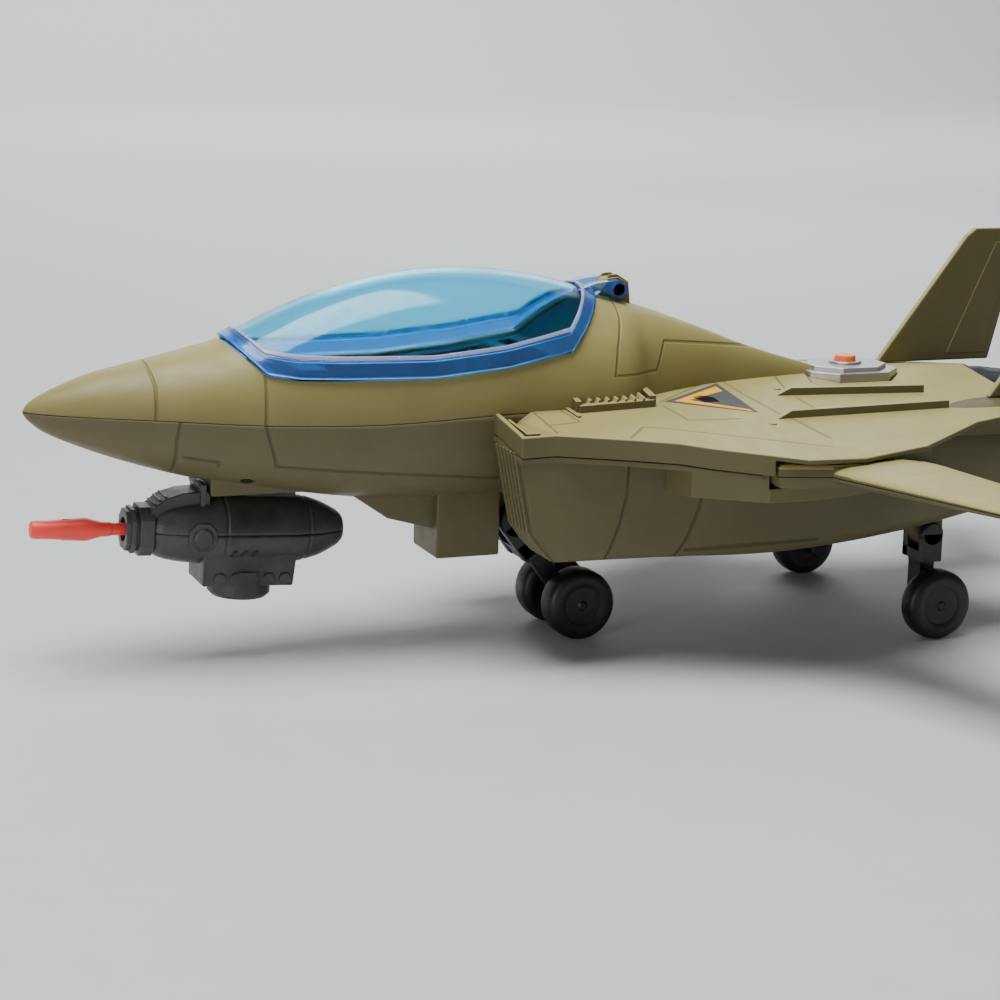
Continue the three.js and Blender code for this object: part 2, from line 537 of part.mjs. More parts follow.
function mainLeg(side) {
  const { leg, wheelOffset } = MAIN_GEAR;
  const cheeks = SIDES.map((s) => join(bar('y', s < 0 ? -7 : 3.8, s < 0 ? -3.8 : 7, 4.2, [0, 0]),
    block(-3.8, 3.8, s < 0 ? -7 : 3.8, s < 0 ? -3.8 : 7, -10, 0)));
  const web = sidePrism([[-3.8, -6.4], [3.8, -6.4], [2.8, -12], [2.8, -leg + 1], [-2.8, -leg + 1], [-2.8, -12]]
    .reverse(), -4, 4);
  const yoke = block(-3.8, 3.8, -7, 7, -10, -6.4);
  const inner = side < 0 ? [-(wheelOffset - 5.4), 4] : [-4, wheelOffset - 5.4];
  const hub = bar('y', inner[0], inner[1], 3.2, [0, -leg]);
  return cut(join(...cheeks, web, yoke, hub), bar('y', -20, 20, PIN_RADIUS + 0.2, [0, 0], 12),
    bar('y', -20, 20, PIN_RADIUS + 0.1, [0, -leg], 12));
}

// ---- Missile launcher, about its own centre ---------------------------------------------------
const POD_HALF_WIDTH = along([[-25, 5], [-21, 8.6], [-15, 11], [-6, 12.2], [8, 12.4],
  [24, 12], [31, 10.4], [37, 7.8], [42, 3.8]]);
const POD_HALF_HEIGHT = along([[-25, 5], [-21, 8.4], [-15, 10.6], [-6, 11.6], [8, 11.6],
  [24, 11.2], [31, 9.8], [37, 7.2], [42, 3.4]]);
const POD_BOX = { start: -8.4, end: 23.9, half: 11.8, floor: -17.8, drumAt: 6.6, drum: 10.6 };

function podBody(shrink, from, to) {
  const stations = [from, -21, -15, -6, 8, 24, 31, 37, to];
  return toSolid(loft(stations, 20, (x, angle) => [(POD_HALF_WIDTH(x) - shrink) * Math.sin(angle),
    (POD_HALF_HEIGHT(x) - shrink) * Math.cos(angle)], () => [0, 0]));
}

const octagonRing = (h, c) => [[-h, -c], [-c, -h], [c, -h], [h, -c], [h, c], [c, h], [-c, h], [-h, c]];

function launcherHalves() {
  const { start, end, half, floor, drumAt, drum } = POD_BOX;
  const outer = join(podBody(0, -25, 42),
    aftPrism(octagonRing(6.6, 3.4), -33.8, -22), aftPrism(octagonRing(8, 4.2), -29.6, -24.6),
    sidePrism([[-27, 4], [-25.4, 9.4], [-21, 13], [-15, 15.2], [-7, 15.6], [-7, 4]].reverse(), -6.4, 6.4),
    sidePrism([[start, -4], [end, -4], [end - 1.2, floor], [start, floor]].reverse(), -half, half),
    block(-9.8, -8, -7.6, 7.6, 6, 16.2), block(6.4, 24, -3, 3, 8, 14.8),
    ...SIDES.map((s) => bar('y', s < 0 ? -13.8 : 8, s < 0 ? -8 : 13.8, 3.3, [-9.6, -0.6], 16)));
  const inner = join(cut(podBody(2, -22, 39), block(14.6, 16.6, -20, 20, -20, 20)),
    sidePrism([[start + 2, -3], [end - 2, -3], [end - 3, floor + 2], [start + 2, floor + 2]].reverse(), 2 - half, half - 2),
    bar('x', -40, -20, 4.3, [0, 0], 20), bar('x', -10, 20, 2.4, [0, 0], 12),
    bar('z', floor - 4, floor + 6, drum + GAP, [drumAt, 0], 28));
  const shell = cut(outer, inner);
  return {
    upper: common(shell, block(-60, 60, -30, 30, GAP / 2, 30)),
    lower: common(shell, block(-60, 60, -30, 30, -30, -GAP / 2)),
  };
}

function launcherSpring() {
  const turns = 6;
  const sides = 5;
  const helix = new THREE.CatmullRomCurve3(spread(0, turns * 8, turns * 8).map((i) => {
    const a = (i / 8) * Math.PI * 2;
    return new THREE.Vector3(-6.6 + (20.2 * i) / (turns * 8), 3.1 * Math.cos(a), 3.1 * Math.sin(a));
  }));
  const corner = (i) => (i * Math.PI * 2) / sides;
  const wire = new THREE.Shape(spread(0, sides - 1, sides - 1)
    .map((i) => new THREE.Vector2(0.4 * Math.cos(corner(i)), 0.4 * Math.sin(corner(i)))));
  return new THREE.ExtrudeGeometry(wire, { steps: turns * 8, extrudePath: helix, bevelEnabled: false });
}

function missileSolid() {
  const profile = [[0, -64.3], [2.4, -64.3], [2.7, -63.6], [2.8, -58], [3.9, -47.5], [3.9, -46], [3, -44.8], [2.1, -43.6],
    [2.1, -40], [2.4, -39], [2.4, -12], [0, -12]];
  const geometry = new THREE.LatheGeometry(profile.map(([r, x]) => new THREE.Vector2(r, x)), 16);
  geometry.rotateZ(-Math.PI / 2);
  return toSolid(geometry);
}

// ---- Sound module -----------------------------------------------------------------------------
function octagon({ start, end, halfWidth }, grow) {
  const [a, b, h, c] = [start - grow, end + grow, halfWidth + grow, 8];
  return [[a, -h + c], [a + c, -h], [b - c, -h], [b, -h + c], [b, h - c], [b - c, h], [a + c, h], [a, h - c]];
}

function soundModule() {
  const step = { ...MODULE, start: MODULE.start + 3, end: MODULE.end - 3, halfWidth: MODULE.halfWidth - 3 };
  const at = [MODULE.button, 0];
  return cut(join(upPrism(octagon(MODULE, 0), -4, MODULE.step), upPrism(octagon(step, 0), 0, MODULE.top),
    bar('z', 0, MODULE.collar, 6, at, 20)), bar('z', -10, 20, 4.2, at, 20), bar('z', -10, 0.6, 6, at, 20));
}

const soundButton = () => join(bar('z', -2.6, MODULE.buttonTop, 3.9, [0, 0], 20), bar('z', -2.6, -1.2, 5.5, [0, 0], 20));

// ---- Assembly ---------------------------------------------------------------------------------
const model = new THREE.Group();
model.position.set(-LENGTH / 2, 0, GROUND);
model.add(meshes);

const { lower, upper } = buildShells();
add('fuselage_upper_shell', upper, finish.olive());
add('fuselage_lower_shell', lower, finish.olive());
add('cockpit_tub', cockpitTub(), finish.darkGrey());
add('pilot_seat', pilotSeat(), finish.darkGrey());
add('canopy', canopySolid(), finish.blueClear());
add('canopy_hinge_bracket', hingeBracket(), finish.olive());
add('canopy_hinge_pin', bar('y', -8.2, 8.2, CANOPY_HINGE.pin, [0, 0], 12), finish.steel(),
  { position: [CANOPY_HINGE.station, 0, CANOPY_HINGE.height] });

for (const [name, { at, seat, tip }] of Object.entries(BODY_SCREWS)) {
  add(`body_screw_${name}`, screwSolid(seat, tip), finish.steel(), { position: [at[0], at[1], 0] });
}

const pod = new THREE.Group();
pod.position.set(POD.station, 0, POD.height);
pod.rotation.y = THREE.MathUtils.degToRad(POD.pitch);
meshes.add(pod);
const halves = launcherHalves();
add('launcher_upper_half', halves.upper, finish.black(), { parent: pod });
add('launcher_lower_half', halves.lower, finish.black(), { parent: pod });
add('launcher_plunger', join(bar('x', -11, -8, 3.8, [0, 0], 14), bar('x', -8.5, 20, 2, [0, 0], 12)), finish.darkGrey(),
  { parent: pod });
add('launcher_spring', launcherSpring(), finish.steel(), { parent: pod });
add('launcher_trigger', bar('z', -4.8, 4.8, POD_BOX.drum, [0, 0], 28), finish.black(),
  { parent: pod, position: [POD_BOX.drumAt, 0, POD_BOX.floor] });
add('missile', missileSolid(), finish.red(), { parent: pod });

const nose = new THREE.Group();
nose.position.set(NOSE_GEAR.station, 0, NOSE_GEAR.height);
nose.rotation.y = -THREE.MathUtils.degToRad(NOSE_GEAR.sweep);
meshes.add(nose);
add('nose_gear_leg', noseLeg(), finish.black(), { parent: nose });
add('nose_gear_pin', bar('y', -8.2, 8.2, PIN_RADIUS - 0.1, [0, 0], 12), finish.steel(), { parent: nose });
add('nose_gear_axle', bar('y', -NOSE_GEAR.wheelY - 4, NOSE_GEAR.wheelY + 4, PIN_RADIUS - 0.1, [0, 0], 12), finish.steel(),
  { parent: nose, position: [0, 0, -NOSE_GEAR.leg] });
for (const side of SIDES) {
  add(`nose_wheel_${sideName(side)}`, wheel(WHEEL.noseWidth), finish.black(),
    { parent: nose, position: [0, side * NOSE_GEAR.wheelY, -NOSE_GEAR.leg] });
}

for (const side of SIDES) {
  const name = sideName(side);
  const gear = new THREE.Group();
  gear.position.set(MAIN_GEAR.station, side * MAIN_GEAR.y, MAIN_GEAR.height);
  meshes.add(gear);
  const axle = [side * -3, side * (MAIN_GEAR.wheelOffset + 3.3)].sort((a, b) => a - b);
  add(`main_gear_leg_${name}`, mainLeg(side), finish.black(), { parent: gear });
  add(`main_gear_pin_${name}`, bar('y', -6.8, 6.8, PIN_RADIUS - 0.1, [0, 0], 12), finish.steel(), { parent: gear });
  add(`main_gear_axle_${name}`, bar('y', axle[0], axle[1], PIN_RADIUS - 0.1, [0, 0], 12), finish.steel(),
    { parent: gear, position: [0, 0, -MAIN_GEAR.leg] });
  add(`main_wheel_${name}`, wheel(WHEEL.mainWidth), finish.black(),
    { parent: gear, position: [0, side * MAIN_GEAR.wheelOffset, -MAIN_GEAR.leg] });

  const wing = wingHalves(side);
  add(`wing_upper_${name}`, wing.upper, finish.olive());
  add(`wing_lower_${name}`, wing.lower, finish.olive());
  add(`wing_pivot_screw_${name}`, screwSolid(PAN.floor + 1.9, -12.2), finish.steel(),
    { position: [WING.pivot[0], side * WING.pivot[1], 0] });
  add(`tail_fin_${name}`, tailFin(side), finish.olive());
  add(`stabilator_${name}`, stabilator(side), finish.olive());
  add(`engine_nozzle_${name}`, nozzle(), finish.darkGrey(), { position: [0, side * 37, -20.5] });
}

add('sound_module', soundModule(), finish.silver());
add('sound_button', soundButton(), finish.orange(), { position: [MODULE.button, 0, 0] });
add('circuit_board', block(284, 316, -12, 12, -9, -7.4), finish.board());
add('speaker', bar('z', -33.1, -27.5, 11, [224, 0], 20), finish.darkGrey());
add('battery_door', cut(block(140.5, 158.5, -10.3, 10.3, -55, -53.2), bar('z', -60, -50, 0.9 + GAP, [142.3, 0], 10)),
  finish.olive());
add('battery_door_screw', join(bar('z', -56.2, -55.2, 1.9, [0, 0], 10), bar('z', -55.4, -48, 0.9, [0, 0], 10)),
  finish.steel(), { position: [142.3, 0, 0] });
for (const i of [0, 1, 2]) {
  add(`battery_cell_${i + 1}`, bar('z', 0, 5.2, 5.5, [0, 0], 20), finish.steel(), { position: [151.8, 0, -52.8 + 5.6 * i] });
}

export default model;
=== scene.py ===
# Toy jet with a swing wing: the surfaces and finishes over its moulded pieces.
# Shapes are written in millimetres: a station is the distance aft of the nose tip, port is -Y,
# and height 0 is the height of the nose tip. They are placed in the model's frame in metres.
import math
import bpy
import bmesh
from mathutils import Matrix, Vector


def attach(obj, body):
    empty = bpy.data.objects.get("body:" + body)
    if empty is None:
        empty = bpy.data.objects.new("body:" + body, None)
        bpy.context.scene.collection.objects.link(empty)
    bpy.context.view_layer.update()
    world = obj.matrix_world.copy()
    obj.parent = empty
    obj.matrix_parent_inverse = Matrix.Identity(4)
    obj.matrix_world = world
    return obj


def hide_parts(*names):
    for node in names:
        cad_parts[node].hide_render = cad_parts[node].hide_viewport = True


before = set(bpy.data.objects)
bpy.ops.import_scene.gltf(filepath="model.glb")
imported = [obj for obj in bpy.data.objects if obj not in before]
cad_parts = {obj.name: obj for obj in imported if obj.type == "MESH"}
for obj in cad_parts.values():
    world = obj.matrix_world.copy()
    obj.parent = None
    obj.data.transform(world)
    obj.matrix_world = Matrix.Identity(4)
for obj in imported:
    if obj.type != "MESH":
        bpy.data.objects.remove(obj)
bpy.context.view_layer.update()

LENGTH = 412
GROUND = 86.7
SIDES = {"port": -1, "starboard": 1}
TO_FRAME = Matrix.Scale(0.001, 4) @ Matrix.Translation((-LENGTH / 2, 0, GROUND))

# ---- Lines of the airframe ------------------------------------------------------------------
HULL_TOP = [(0, 0.3), (1.5, 2.3), (4, 4.2), (12, 8), (23, 11.9), (40, 15.6), (56, 19.3), (64, 21.3),
            (72, 25), (91, 33.2), (112, 39.4), (133, 42.8), (154, 43), (175, 40.3), (192, 36), (200, 33.2)]
HULL_FLOOR = [(0, -0.3), (1.5, -2.6), (7, -7), (22, -13.6), (37, -18.9), (55, -24), (75, -27.8), (95, -31.2),
              (113, -33.6), (140, -35), (200, -35.5)]
HULL_HALF = [(0, 0.3), (1.5, 2.4), (6, 5.6), (12, 8.7), (23, 13), (38, 17.4), (55, 21.4), (75, 25.2),
             (95, 28), (120, 30), (150, 31), (200, 29)]
HULL_SEAM = [(0, 0), (38, -1.4), (75, -3.4), (100, -4), (120, -3.8), (155, -2.2), (200, -2)]
SILL = [(64, 22.4), (75, 12.2), (85, 10.8), (100, 10.4), (130, 10.4), (156, 12.9), (180, 17.2), (197, 35)]
SPINE_TOP = [(196, 33.6), (212, 29.8), (237, 21.4), (260, 12.8), (288, 4.4)]
SPINE_HALF = [(196, 29.2), (206, 25), (213, 20), (240, 10.5), (262, 6.5), (288, 4)]
DECK_RIM = [(150.5, 55.5), (163, 54.8), (186.5, 62.4), (201, 68), (210.5, 74.3), (237.5, 89), (258, 90),
            (286, 82), (318, 62), (350, 52)]
NACELLE_Y = [(150, 41.8), (250, 41.8), (320, 39), (375, 37)]
NACELLE_HALF = [(150, 11.8), (250, 12.2), (300, 15.5), (340, 17.5), (375, 16)]
NACELLE_TOP = [(150, -9), (250, -8), (300, -4.5), (340, -2.5), (375, -4)]
NACELLE_FLOOR = [(150, -48.6), (200, -49.6), (250, -51), (300, -47), (340, -41), (375, -37)]
NACELLE_POWER = [(150, 9), (250, 6), (320, 3), (375, 2.1)]
INTAKE_RAKE = [(150, -4), (151, -11), (156.5, -38), (161, -44), (165.2, -48.4)]
PARTING = 0.15                       # half the gap between two moulded halves
NECK_START, NECK_LENGTH = 190, 22    # where the hull's section turns into the spine's
SPINE_FOOT = -6
DECK_START, DECK_END = 150.5, 350
DECK_CROWN, DECK_SLOPE, DECK_RIM_DEPTH, DECK_ROOF = 3, 0.15, 7, 1.6
TRAY_DEPTH = 4.2
SLOT_START, SLOT_INNER, SLOT_FLOOR = 228.2, 56.2, -21.2
PAN_TOP, PAN_FLOOR = -13.6, -26
NACELLE_START, NACELLE_END = 140, 375
NOZZLE_Y, NOZZLE_Z = 37, -20.5
MODULE = 300                         # station of the sound module's middle


def along(points):
    """Smooth value through the points, held flat past both ends."""
    slopes = []
    for i in range(len(points)):
        a, b = points[max(i - 1, 0)], points[min(i + 1, len(points) - 1)]
        slopes.append((b[1] - a[1]) / (b[0] - a[0]))

    def value(x):
        if x <= points[0][0]:
            return points[0][1]
        if x >= points[-1][0]:
            return points[-1][1]
        i = max(k for k in range(len(points) - 1) if points[k][0] <= x)
        (x0, y0), (x1, y1) = points[i], points[i + 1]
        h, t = x1 - x0, (x - x0) / (x1 - x0)
        return (y0 * (1 + 2 * t) * (1 - t) ** 2 + slopes[i] * h * t * (1 - t) ** 2
                + y1 * t * t * (3 - 2 * t) + slopes[i + 1] * h * t * t * (t - 1))
    return value


def straight(points):
    """Value on the straight runs between the points."""
    def value(x):
        for (x0, y0), (x1, y1) in zip(points, points[1:]):
            if x <= x1:
                return y0 + (y1 - y0) * max(0, (x - x0) / (x1 - x0))
        return points[-1][1]
    return value


hull_top, hull_floor, hull_half, hull_seam = map(along, (HULL_TOP, HULL_FLOOR, HULL_HALF, HULL_SEAM))
sill = straight(SILL)
spine_top, spine_half = along(SPINE_TOP), along(SPINE_HALF)


def deck_top(y):
    return DECK_CROWN - DECK_SLOPE * abs(y)


def power(v, p):
    return 0 if abs(v) < 1e-9 else math.copysign(abs(v) ** p, v)


# ---- Finishes -------------------------------------------------------------------------------
PLANES = {"side": (1, 0, 1), "plan": (1, 1, 0)}


class Finish:
    """A moulded plastic material, with engraved lines where a piece has them."""

    def __init__(self, name, colour, roughness=0.45, grain=0.4, speckle=0.018, metallic=0, **sockets):
        self.material = bpy.data.materials.new(name)
        self.material.use_nodes = True
        self.nodes = self.material.node_tree.nodes
        self.links = self.material.node_tree.links
        self.shader = self.nodes["Principled BSDF"]
        self.place = self.nodes.new("ShaderNodeTexCoord").outputs["Object"]
        self.shader.inputs["Metallic"].default_value = metallic
        for key, value in sockets.items():
            self.shader.inputs[key.replace("_", " ")].default_value = value
        self.grooves = []
        cloud = self.noise(60, 3)
        darker = [c * (1 - speckle * 2) for c in colour]
        lighter = [min(1, c * (1 + speckle * 2)) for c in colour]
        self.colour = self.blend(cloud, (*darker, 1), (*lighter, 1))
        self.rough = self.ramp(self.noise(160, 4), roughness - 0.07, roughness + 0.09)
        self.links.new(self.rough, self.shader.inputs["Roughness"])
        skin = self.nodes.new("ShaderNodeBump")
        skin.inputs["Strength"].default_value = grain
        skin.inputs["Distance"].default_value = 0.00012
        self.links.new(self.noise(1600, 3), skin.inputs["Height"])
        self.bump = skin
        self.close()

    def close(self):
        self.links.new(self.colour, self.shader.inputs["Base Color"])
        self.links.new(self.bump.outputs["Normal"], self.shader.inputs["Normal"])

    def fade(self, low, high, factor):
        """Painted shade: darkens the colour below a height, down to the factor at the low height."""
        height = self.vector("DOT_PRODUCT", self.place, (0, 0, 1))
        share = self.ramp(height, 1 - factor, 0, (low + GROUND) / 1000, (high + GROUND) / 1000)
        return self.tint(share, (0, 0, 0))

    def tint(self, share, colour):
        """Multiplies the base colour by another one, as far as share says."""
        mix = self.nodes.new("ShaderNodeMix")
        mix.data_type = "RGBA"
        mix.blend_type = "MULTIPLY"
        self.links.new(share, mix.inputs["Factor"])
        self.links.new(self.colour, mix.inputs[6])
        mix.inputs[7].default_value = (*colour, 1)
        self.colour = mix.outputs[2]
        self.close()
        return self

    def soak(self, colour, density):
        """Deepens the colour with the thickness that light passes through."""
        depth = self.nodes.new("ShaderNodeVolumeAbsorption")
        depth.inputs["Color"].default_value = (*colour, 1)
        depth.inputs["Density"].default_value = density
        self.links.new(depth.outputs["Volume"], self.nodes["Material Output"].inputs["Volume"])

    def noise(self, scale, detail):
        node = self.nodes.new("ShaderNodeTexNoise")
        node.inputs["Scale"].default_value = scale
        node.inputs["Detail"].default_value = detail
        self.links.new(self.place, node.inputs["Vector"])
        return node.outputs["Fac"]

    def ramp(self, source, low, high, start=0.3, end=0.7):
        node = self.nodes.new("ShaderNodeMapRange")
        node.inputs["From Min"].default_value = start
        node.inputs["From Max"].default_value = end
        node.inputs["To Min"].default_value = low
        node.inputs["To Max"].default_value = high
        self.links.new(source, node.inputs["Value"])
        return node.outputs["Result"]

    def blend(self, factor, low, high, start=0.35, end=0.65):
        node = self.nodes.new("ShaderNodeMix")
        node.data_type = "RGBA"
        self.links.new(self.ramp(factor, 0, 1, start, end), node.inputs["Factor"])
        for socket, colour in ((node.inputs[6], low), (node.inputs[7], high)):
            if isinstance(colour, tuple):
                socket.default_value = colour
            else:
                self.links.new(colour, socket)
        return node.outputs[2]

    def vector(self, operation, a, b=None):
        node = self.nodes.new("ShaderNodeVectorMath")
        node.operation = operation
        for socket, value in zip(node.inputs, (a, b)):
            if value is None:
                continue
            if isinstance(value, (tuple, Vector)):
                socket.default_value = value
            else:
                self.links.new(value, socket)
        return node.outputs["Value" if operation in ("DOT_PRODUCT", "LENGTH") else "Vector"]

    def maths(self, operation, a, b=None, clamp=False):
        node = self.nodes.new("ShaderNodeMath")
        node.operation = operation
        node.use_clamp = clamp
        for socket, value in zip(node.inputs, (a, b)):
            if value is None:
                continue
            if isinstance(value, (int, float)):
                socket.default_value = value
            else:
                self.links.new(value, socket)
        return node.outputs[0]

    def flat(self, plane):
        """The place on the object, flattened onto a plane, with port and starboard alike."""
        folded = self.vector("ABSOLUTE", self.vector("MULTIPLY", self.place, (0, 1, 0)))
        rest = self.vector("MULTIPLY", self.place, (1, 0, 1))
        return self.vector("MULTIPLY", self.vector("ADD", folded, rest), PLANES[plane])

    def distance(self, plane, line):
        """Distance from a run of straight lines drawn in one plane."""
        here = self.flat(plane)
        nearest = None
        for a, b in zip(line, line[1:]):
            ends = []
            for station, other in (a, b):
                point = (station, 0, other) if plane == "side" else (station, abs(other), 0)
                placed = TO_FRAME @ Vector(point)
                ends.append(Vector([c * k for c, k in zip(placed, PLANES[plane])]))
            run = ends[1] - ends[0]
            offset = self.vector("SUBTRACT", here, ends[0])
            travelled = self.vector("DOT_PRODUCT", offset, run / run.length_squared)
            share = self.maths("ADD", travelled, 0, clamp=True)
            step = self.nodes.new("ShaderNodeVectorMath")
            step.operation = "SCALE"
            step.inputs[0].default_value = run
            self.links.new(share, step.inputs["Scale"])
            gap = self.vector("LENGTH", self.vector("SUBTRACT", offset, step.outputs["Vector"]))
            nearest = gap if nearest is None else self.maths("MINIMUM", nearest, gap)
        return nearest

    def engrave(self, lines, width=0.7, depth=0.32, shade=0.55):
        """Cuts fine lines into the surface and darkens them with painted shade: each is a plane and its points
        in millimetres.
        """
        nearest = None
        for plane, *points in lines:
            gap = self.distance(plane, points)
            nearest = gap if nearest is None else self.maths("MINIMUM", nearest, gap)
        groove = self.ramp(nearest, 1, 0, width * 0.0003, width * 0.001)
        cut = self.nodes.new("ShaderNodeBump")
        cut.invert = True
        cut.inputs["Strength"].default_value = 1
        cut.inputs["Distance"].default_value = depth * 0.001
        self.links.new(groove, cut.inputs["Height"])
        self.links.new(self.bump.outputs["Normal"], cut.inputs["Normal"])
        self.bump = cut
        # The groove's darker colour is painted shade in the recess; its bump is real.
        return self.tint(self.maths("MULTIPLY", groove, 1 - shade), (0.25, 0.22, 0.16))


# The third colour is the olive plastic darkened: painted shade for the lower parts, which the overhead light
# reaches less.
OLIVE, OLIVE_HULL, OLIVE_UNDER_SHADE = (0.345, 0.305, 0.108), (0.33, 0.292, 0.106), (0.125, 0.109, 0.052)
SHEEN = 0.3
HULL_LINES = [
    ("side", (38.5, 18), (40, 9), (39.4, -1.4)),
    ("side", (74.6, 14), (73.8, -3.4)),
    ("side", (204, 40), (201.6, 27), (197.6, 17), (195.6, 8.6), (215.8, 8.2), (220.5, 17.6), (262, 12.8)),
]
LOWER_LINES = [
    ("side", (47, -1.8), (46, -8), (46.8, -24)),
    ("side", (49, -14.2), (60, -16), (60.2, -17.6)),
    ("side", (73.8, -3.4), (78.4, -17.8), (99.5, -20), (127, -22.6), (156, -25.6)),
]
DECK_LINES = [
    ("plan", (164.4, 26), (164.4, 52.4)),
    ("plan", (187.5, 59.8), (195.7, 50.5), (201.3, 51.9), (224.8, 64.2), (252, 78)),
    ("plan", (246, 5), (247, 22), (250, 44.7), (253, 52), (256, 70)),
    ("plan", (268.9, 5), (265.5, 19.1)), ("plan", (282, 4), (279, 14), (283, 20)),
    ("plan", (264.9, 29), (266.1, 42)), ("plan", (252.7, 52.8), (255.2, 69)),
    ("plan", (212.3, 30.6), (214.6, 46.2), (234, 47.2)), ("plan", (213, 27), (246, 4)),
    ("plan", (174.5, 29), (176.5, 42.5), (172, 43.6), (163.6, 44.6)),
]
NACELLE_LINES = [
    ("side", (190, -10), (189.6, -26), (187, -37), (182, -50)),
    ("side", (220, -10), (216.4, -32), (212, -43), (207, -51)),
    ("side", (212, -47), (262, -46.4)),
]



def moulded(name, colour):
    """The toy's matt olive plastic, in its own colour or in a darker copy that is painted shade."""
    return Finish(name, colour, Specular_IOR_Level=SHEEN)


def clear(name, colour, roughness, **sockets):
    return Finish(name, colour, roughness, grain=0.02, **sockets)


def printed(name, colour):
    """The sticker's dull ink."""
    return Finish(name, colour, 0.6, grain=0.1, Specular_IOR_Level=0.05)


# The upper hull is darkened towards its seam: painted shade for light that falls from above.
olive = moulded("olive_upper", OLIVE_HULL).engrave(HULL_LINES).fade(-4, 22, 0.6)
olive_deck = moulded("olive_deck", OLIVE).engrave(DECK_LINES, width=0.6)
# The pan's olive is darkened: painted shade under the deck's rim.
olive_pan_shaded = moulded("olive_pan_shaded", (0.15, 0.132, 0.058))
# A darker copy of the olive plastic: painted shade for faces that don't look up.
olive_side_shade = moulded("olive_side_shade", (0.125, 0.11, 0.048))
olive_plain = moulded("olive_plain", OLIVE)
# The lower hull, nacelles and underside parts use the darkened olive: painted shade.
olive_lower_shaded = moulded("olive_lower_shaded", OLIVE_UNDER_SHADE).engrave(LOWER_LINES)
olive_nacelle_shaded = moulded("olive_nacelle_shaded", OLIVE_UNDER_SHADE).engrave(NACELLE_LINES, width=0.8)
olive_under_shaded = moulded("olive_under_shaded", OLIVE_UNDER_SHADE)
black = Finish("black_plastic", (0.011, 0.011, 0.012), 0.42, grain=0.8, speckle=0.12)
pod_black = Finish("pod_plastic", (0.042, 0.042, 0.045), 0.4, grain=1.3, speckle=0.2)
dark = Finish("cockpit_grey", (0.03, 0.034, 0.04), 0.55, grain=0.7)
blue = clear("blue_clear", (0.5, 0.88, 1), 0.08, speckle=0.005, Transmission_Weight=1.0, IOR=1.33)
blue.soak((0.1, 0.84, 1), 300)
blue_deep = clear("blue_edge", (0.17, 0.44, 1), 0.13, speckle=0.01, Transmission_Weight=0.88, IOR=1.4)
# The canopy lip is a real edge of the frame, coloured pale lavender as a painted highlight of the light it
# reflects.
lip = Finish("canopy_lip_highlight", (0.6, 0.6, 0.86), 0.2, grain=0.05, Transmission_Weight=0.5)
red = Finish("coral_red", (1, 0.065, 0.05), 0.36, grain=0.15, speckle=0.03, Subsurface_Weight=0.15)
silver = Finish("silver_plastic", (0.42, 0.41, 0.4), 0.33, grain=0.3, speckle=0.03, metallic=0.7)
steel = Finish("plated_steel", (0.5, 0.5, 0.51), 0.3, grain=0.3, speckle=0.05, metallic=1)
orange = Finish("orange_button", (0.8, 0.13, 0.035), 0.35, grain=0.2, speckle=0.03)
board = Finish("board_green", (0.014, 0.133, 0.042), 0.4, grain=0.3)
sticker_grey = printed("sticker_grey", (0.09, 0.09, 0.092))
sticker_yellow = printed("sticker_yellow", (0.86, 0.43, 0.002))
sticker_black = printed("sticker_black", (0.006, 0.007, 0.012))


# ---- Making pieces --------------------------------------------------------------------------
SHARP = 32                           # degrees between faces, past which an edge stays crisp


def paint_side_shade(mesh):
    """Gives the faces that don't look up a darker copy of the plastic: painted shade where the overhead light
    reaches less.
    """
    mesh.materials.append(olive_side_shade.material)
    for face in mesh.polygons:
        if face.normal.z < 0.4:
            face.material_index = 1


def piece(name, bm, finish, body="airframe", bevel=0, segments=2, wall=0, stands_for=(), turn=None):
    """Turns a shape in millimetres into an object that rides on a body of the model."""
    bmesh.ops.remove_doubles(bm, verts=bm.verts, dist=1e-4)
    bmesh.ops.recalc_face_normals(bm, faces=bm.faces)
    if turn:
        bmesh.ops.transform(bm, matrix=turn, verts=bm.verts)
    bmesh.ops.transform(bm, matrix=TO_FRAME, verts=bm.verts)
    mesh = bpy.data.meshes.new(name)
    bm.to_mesh(mesh)
    bm.free()
    mesh.shade_smooth()
    mesh.set_sharp_from_angle(angle=math.radians(SHARP))
    mesh.materials.append(finish.material)
    # Pieces in the plain olive get painted shade on their faces that don't look up.
    if finish is olive_plain:
        paint_side_shade(mesh)
    obj = bpy.data.objects.new(name, mesh)
    bpy.context.scene.collection.objects.link(obj)
    if wall:
        thick = obj.modifiers.new("wall", "SOLIDIFY")
        thick.thickness = wall * 0.001
        thick.offset = -1
    if bevel:
        soft = obj.modifiers.new("edges", "BEVEL")
        soft.width = bevel * 0.001
        soft.segments = segments
        soft.limit_method = "ANGLE"
        soft.angle_limit = math.radians(38)
        soft.harden_normals = True
    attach(obj, body)
    if stands_for:
        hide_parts(*stands_for)
    return obj


def pair(bm, merge=0):
    """Adds the starboard copy of a port shape."""
    bmesh.ops.mirror(bm, geom=bm.verts[:] + bm.edges[:] + bm.faces[:], axis="Y", merge_dist=merge)
    return bm


def on_side(bm, side):
    """Leaves a port shape as it is, and turns it into its mirror image for starboard."""
    if side > 0:
        bmesh.ops.scale(bm, vec=(1, -1, 1), verts=bm.verts)
    return bm


def skin(steps, turns, where, both=False):
    """A sheet laid over where(u, v), with u and v from 0 to 1."""
    bm = bmesh.new()
    bmesh.ops.create_grid(bm, x_segments=steps, y_segments=turns, size=1)
    for v in bm.verts:
        v.co = where((v.co.x + 1) / 2, (v.co.y + 1) / 2)
    return pair(bm, 1e-4) if both else bm


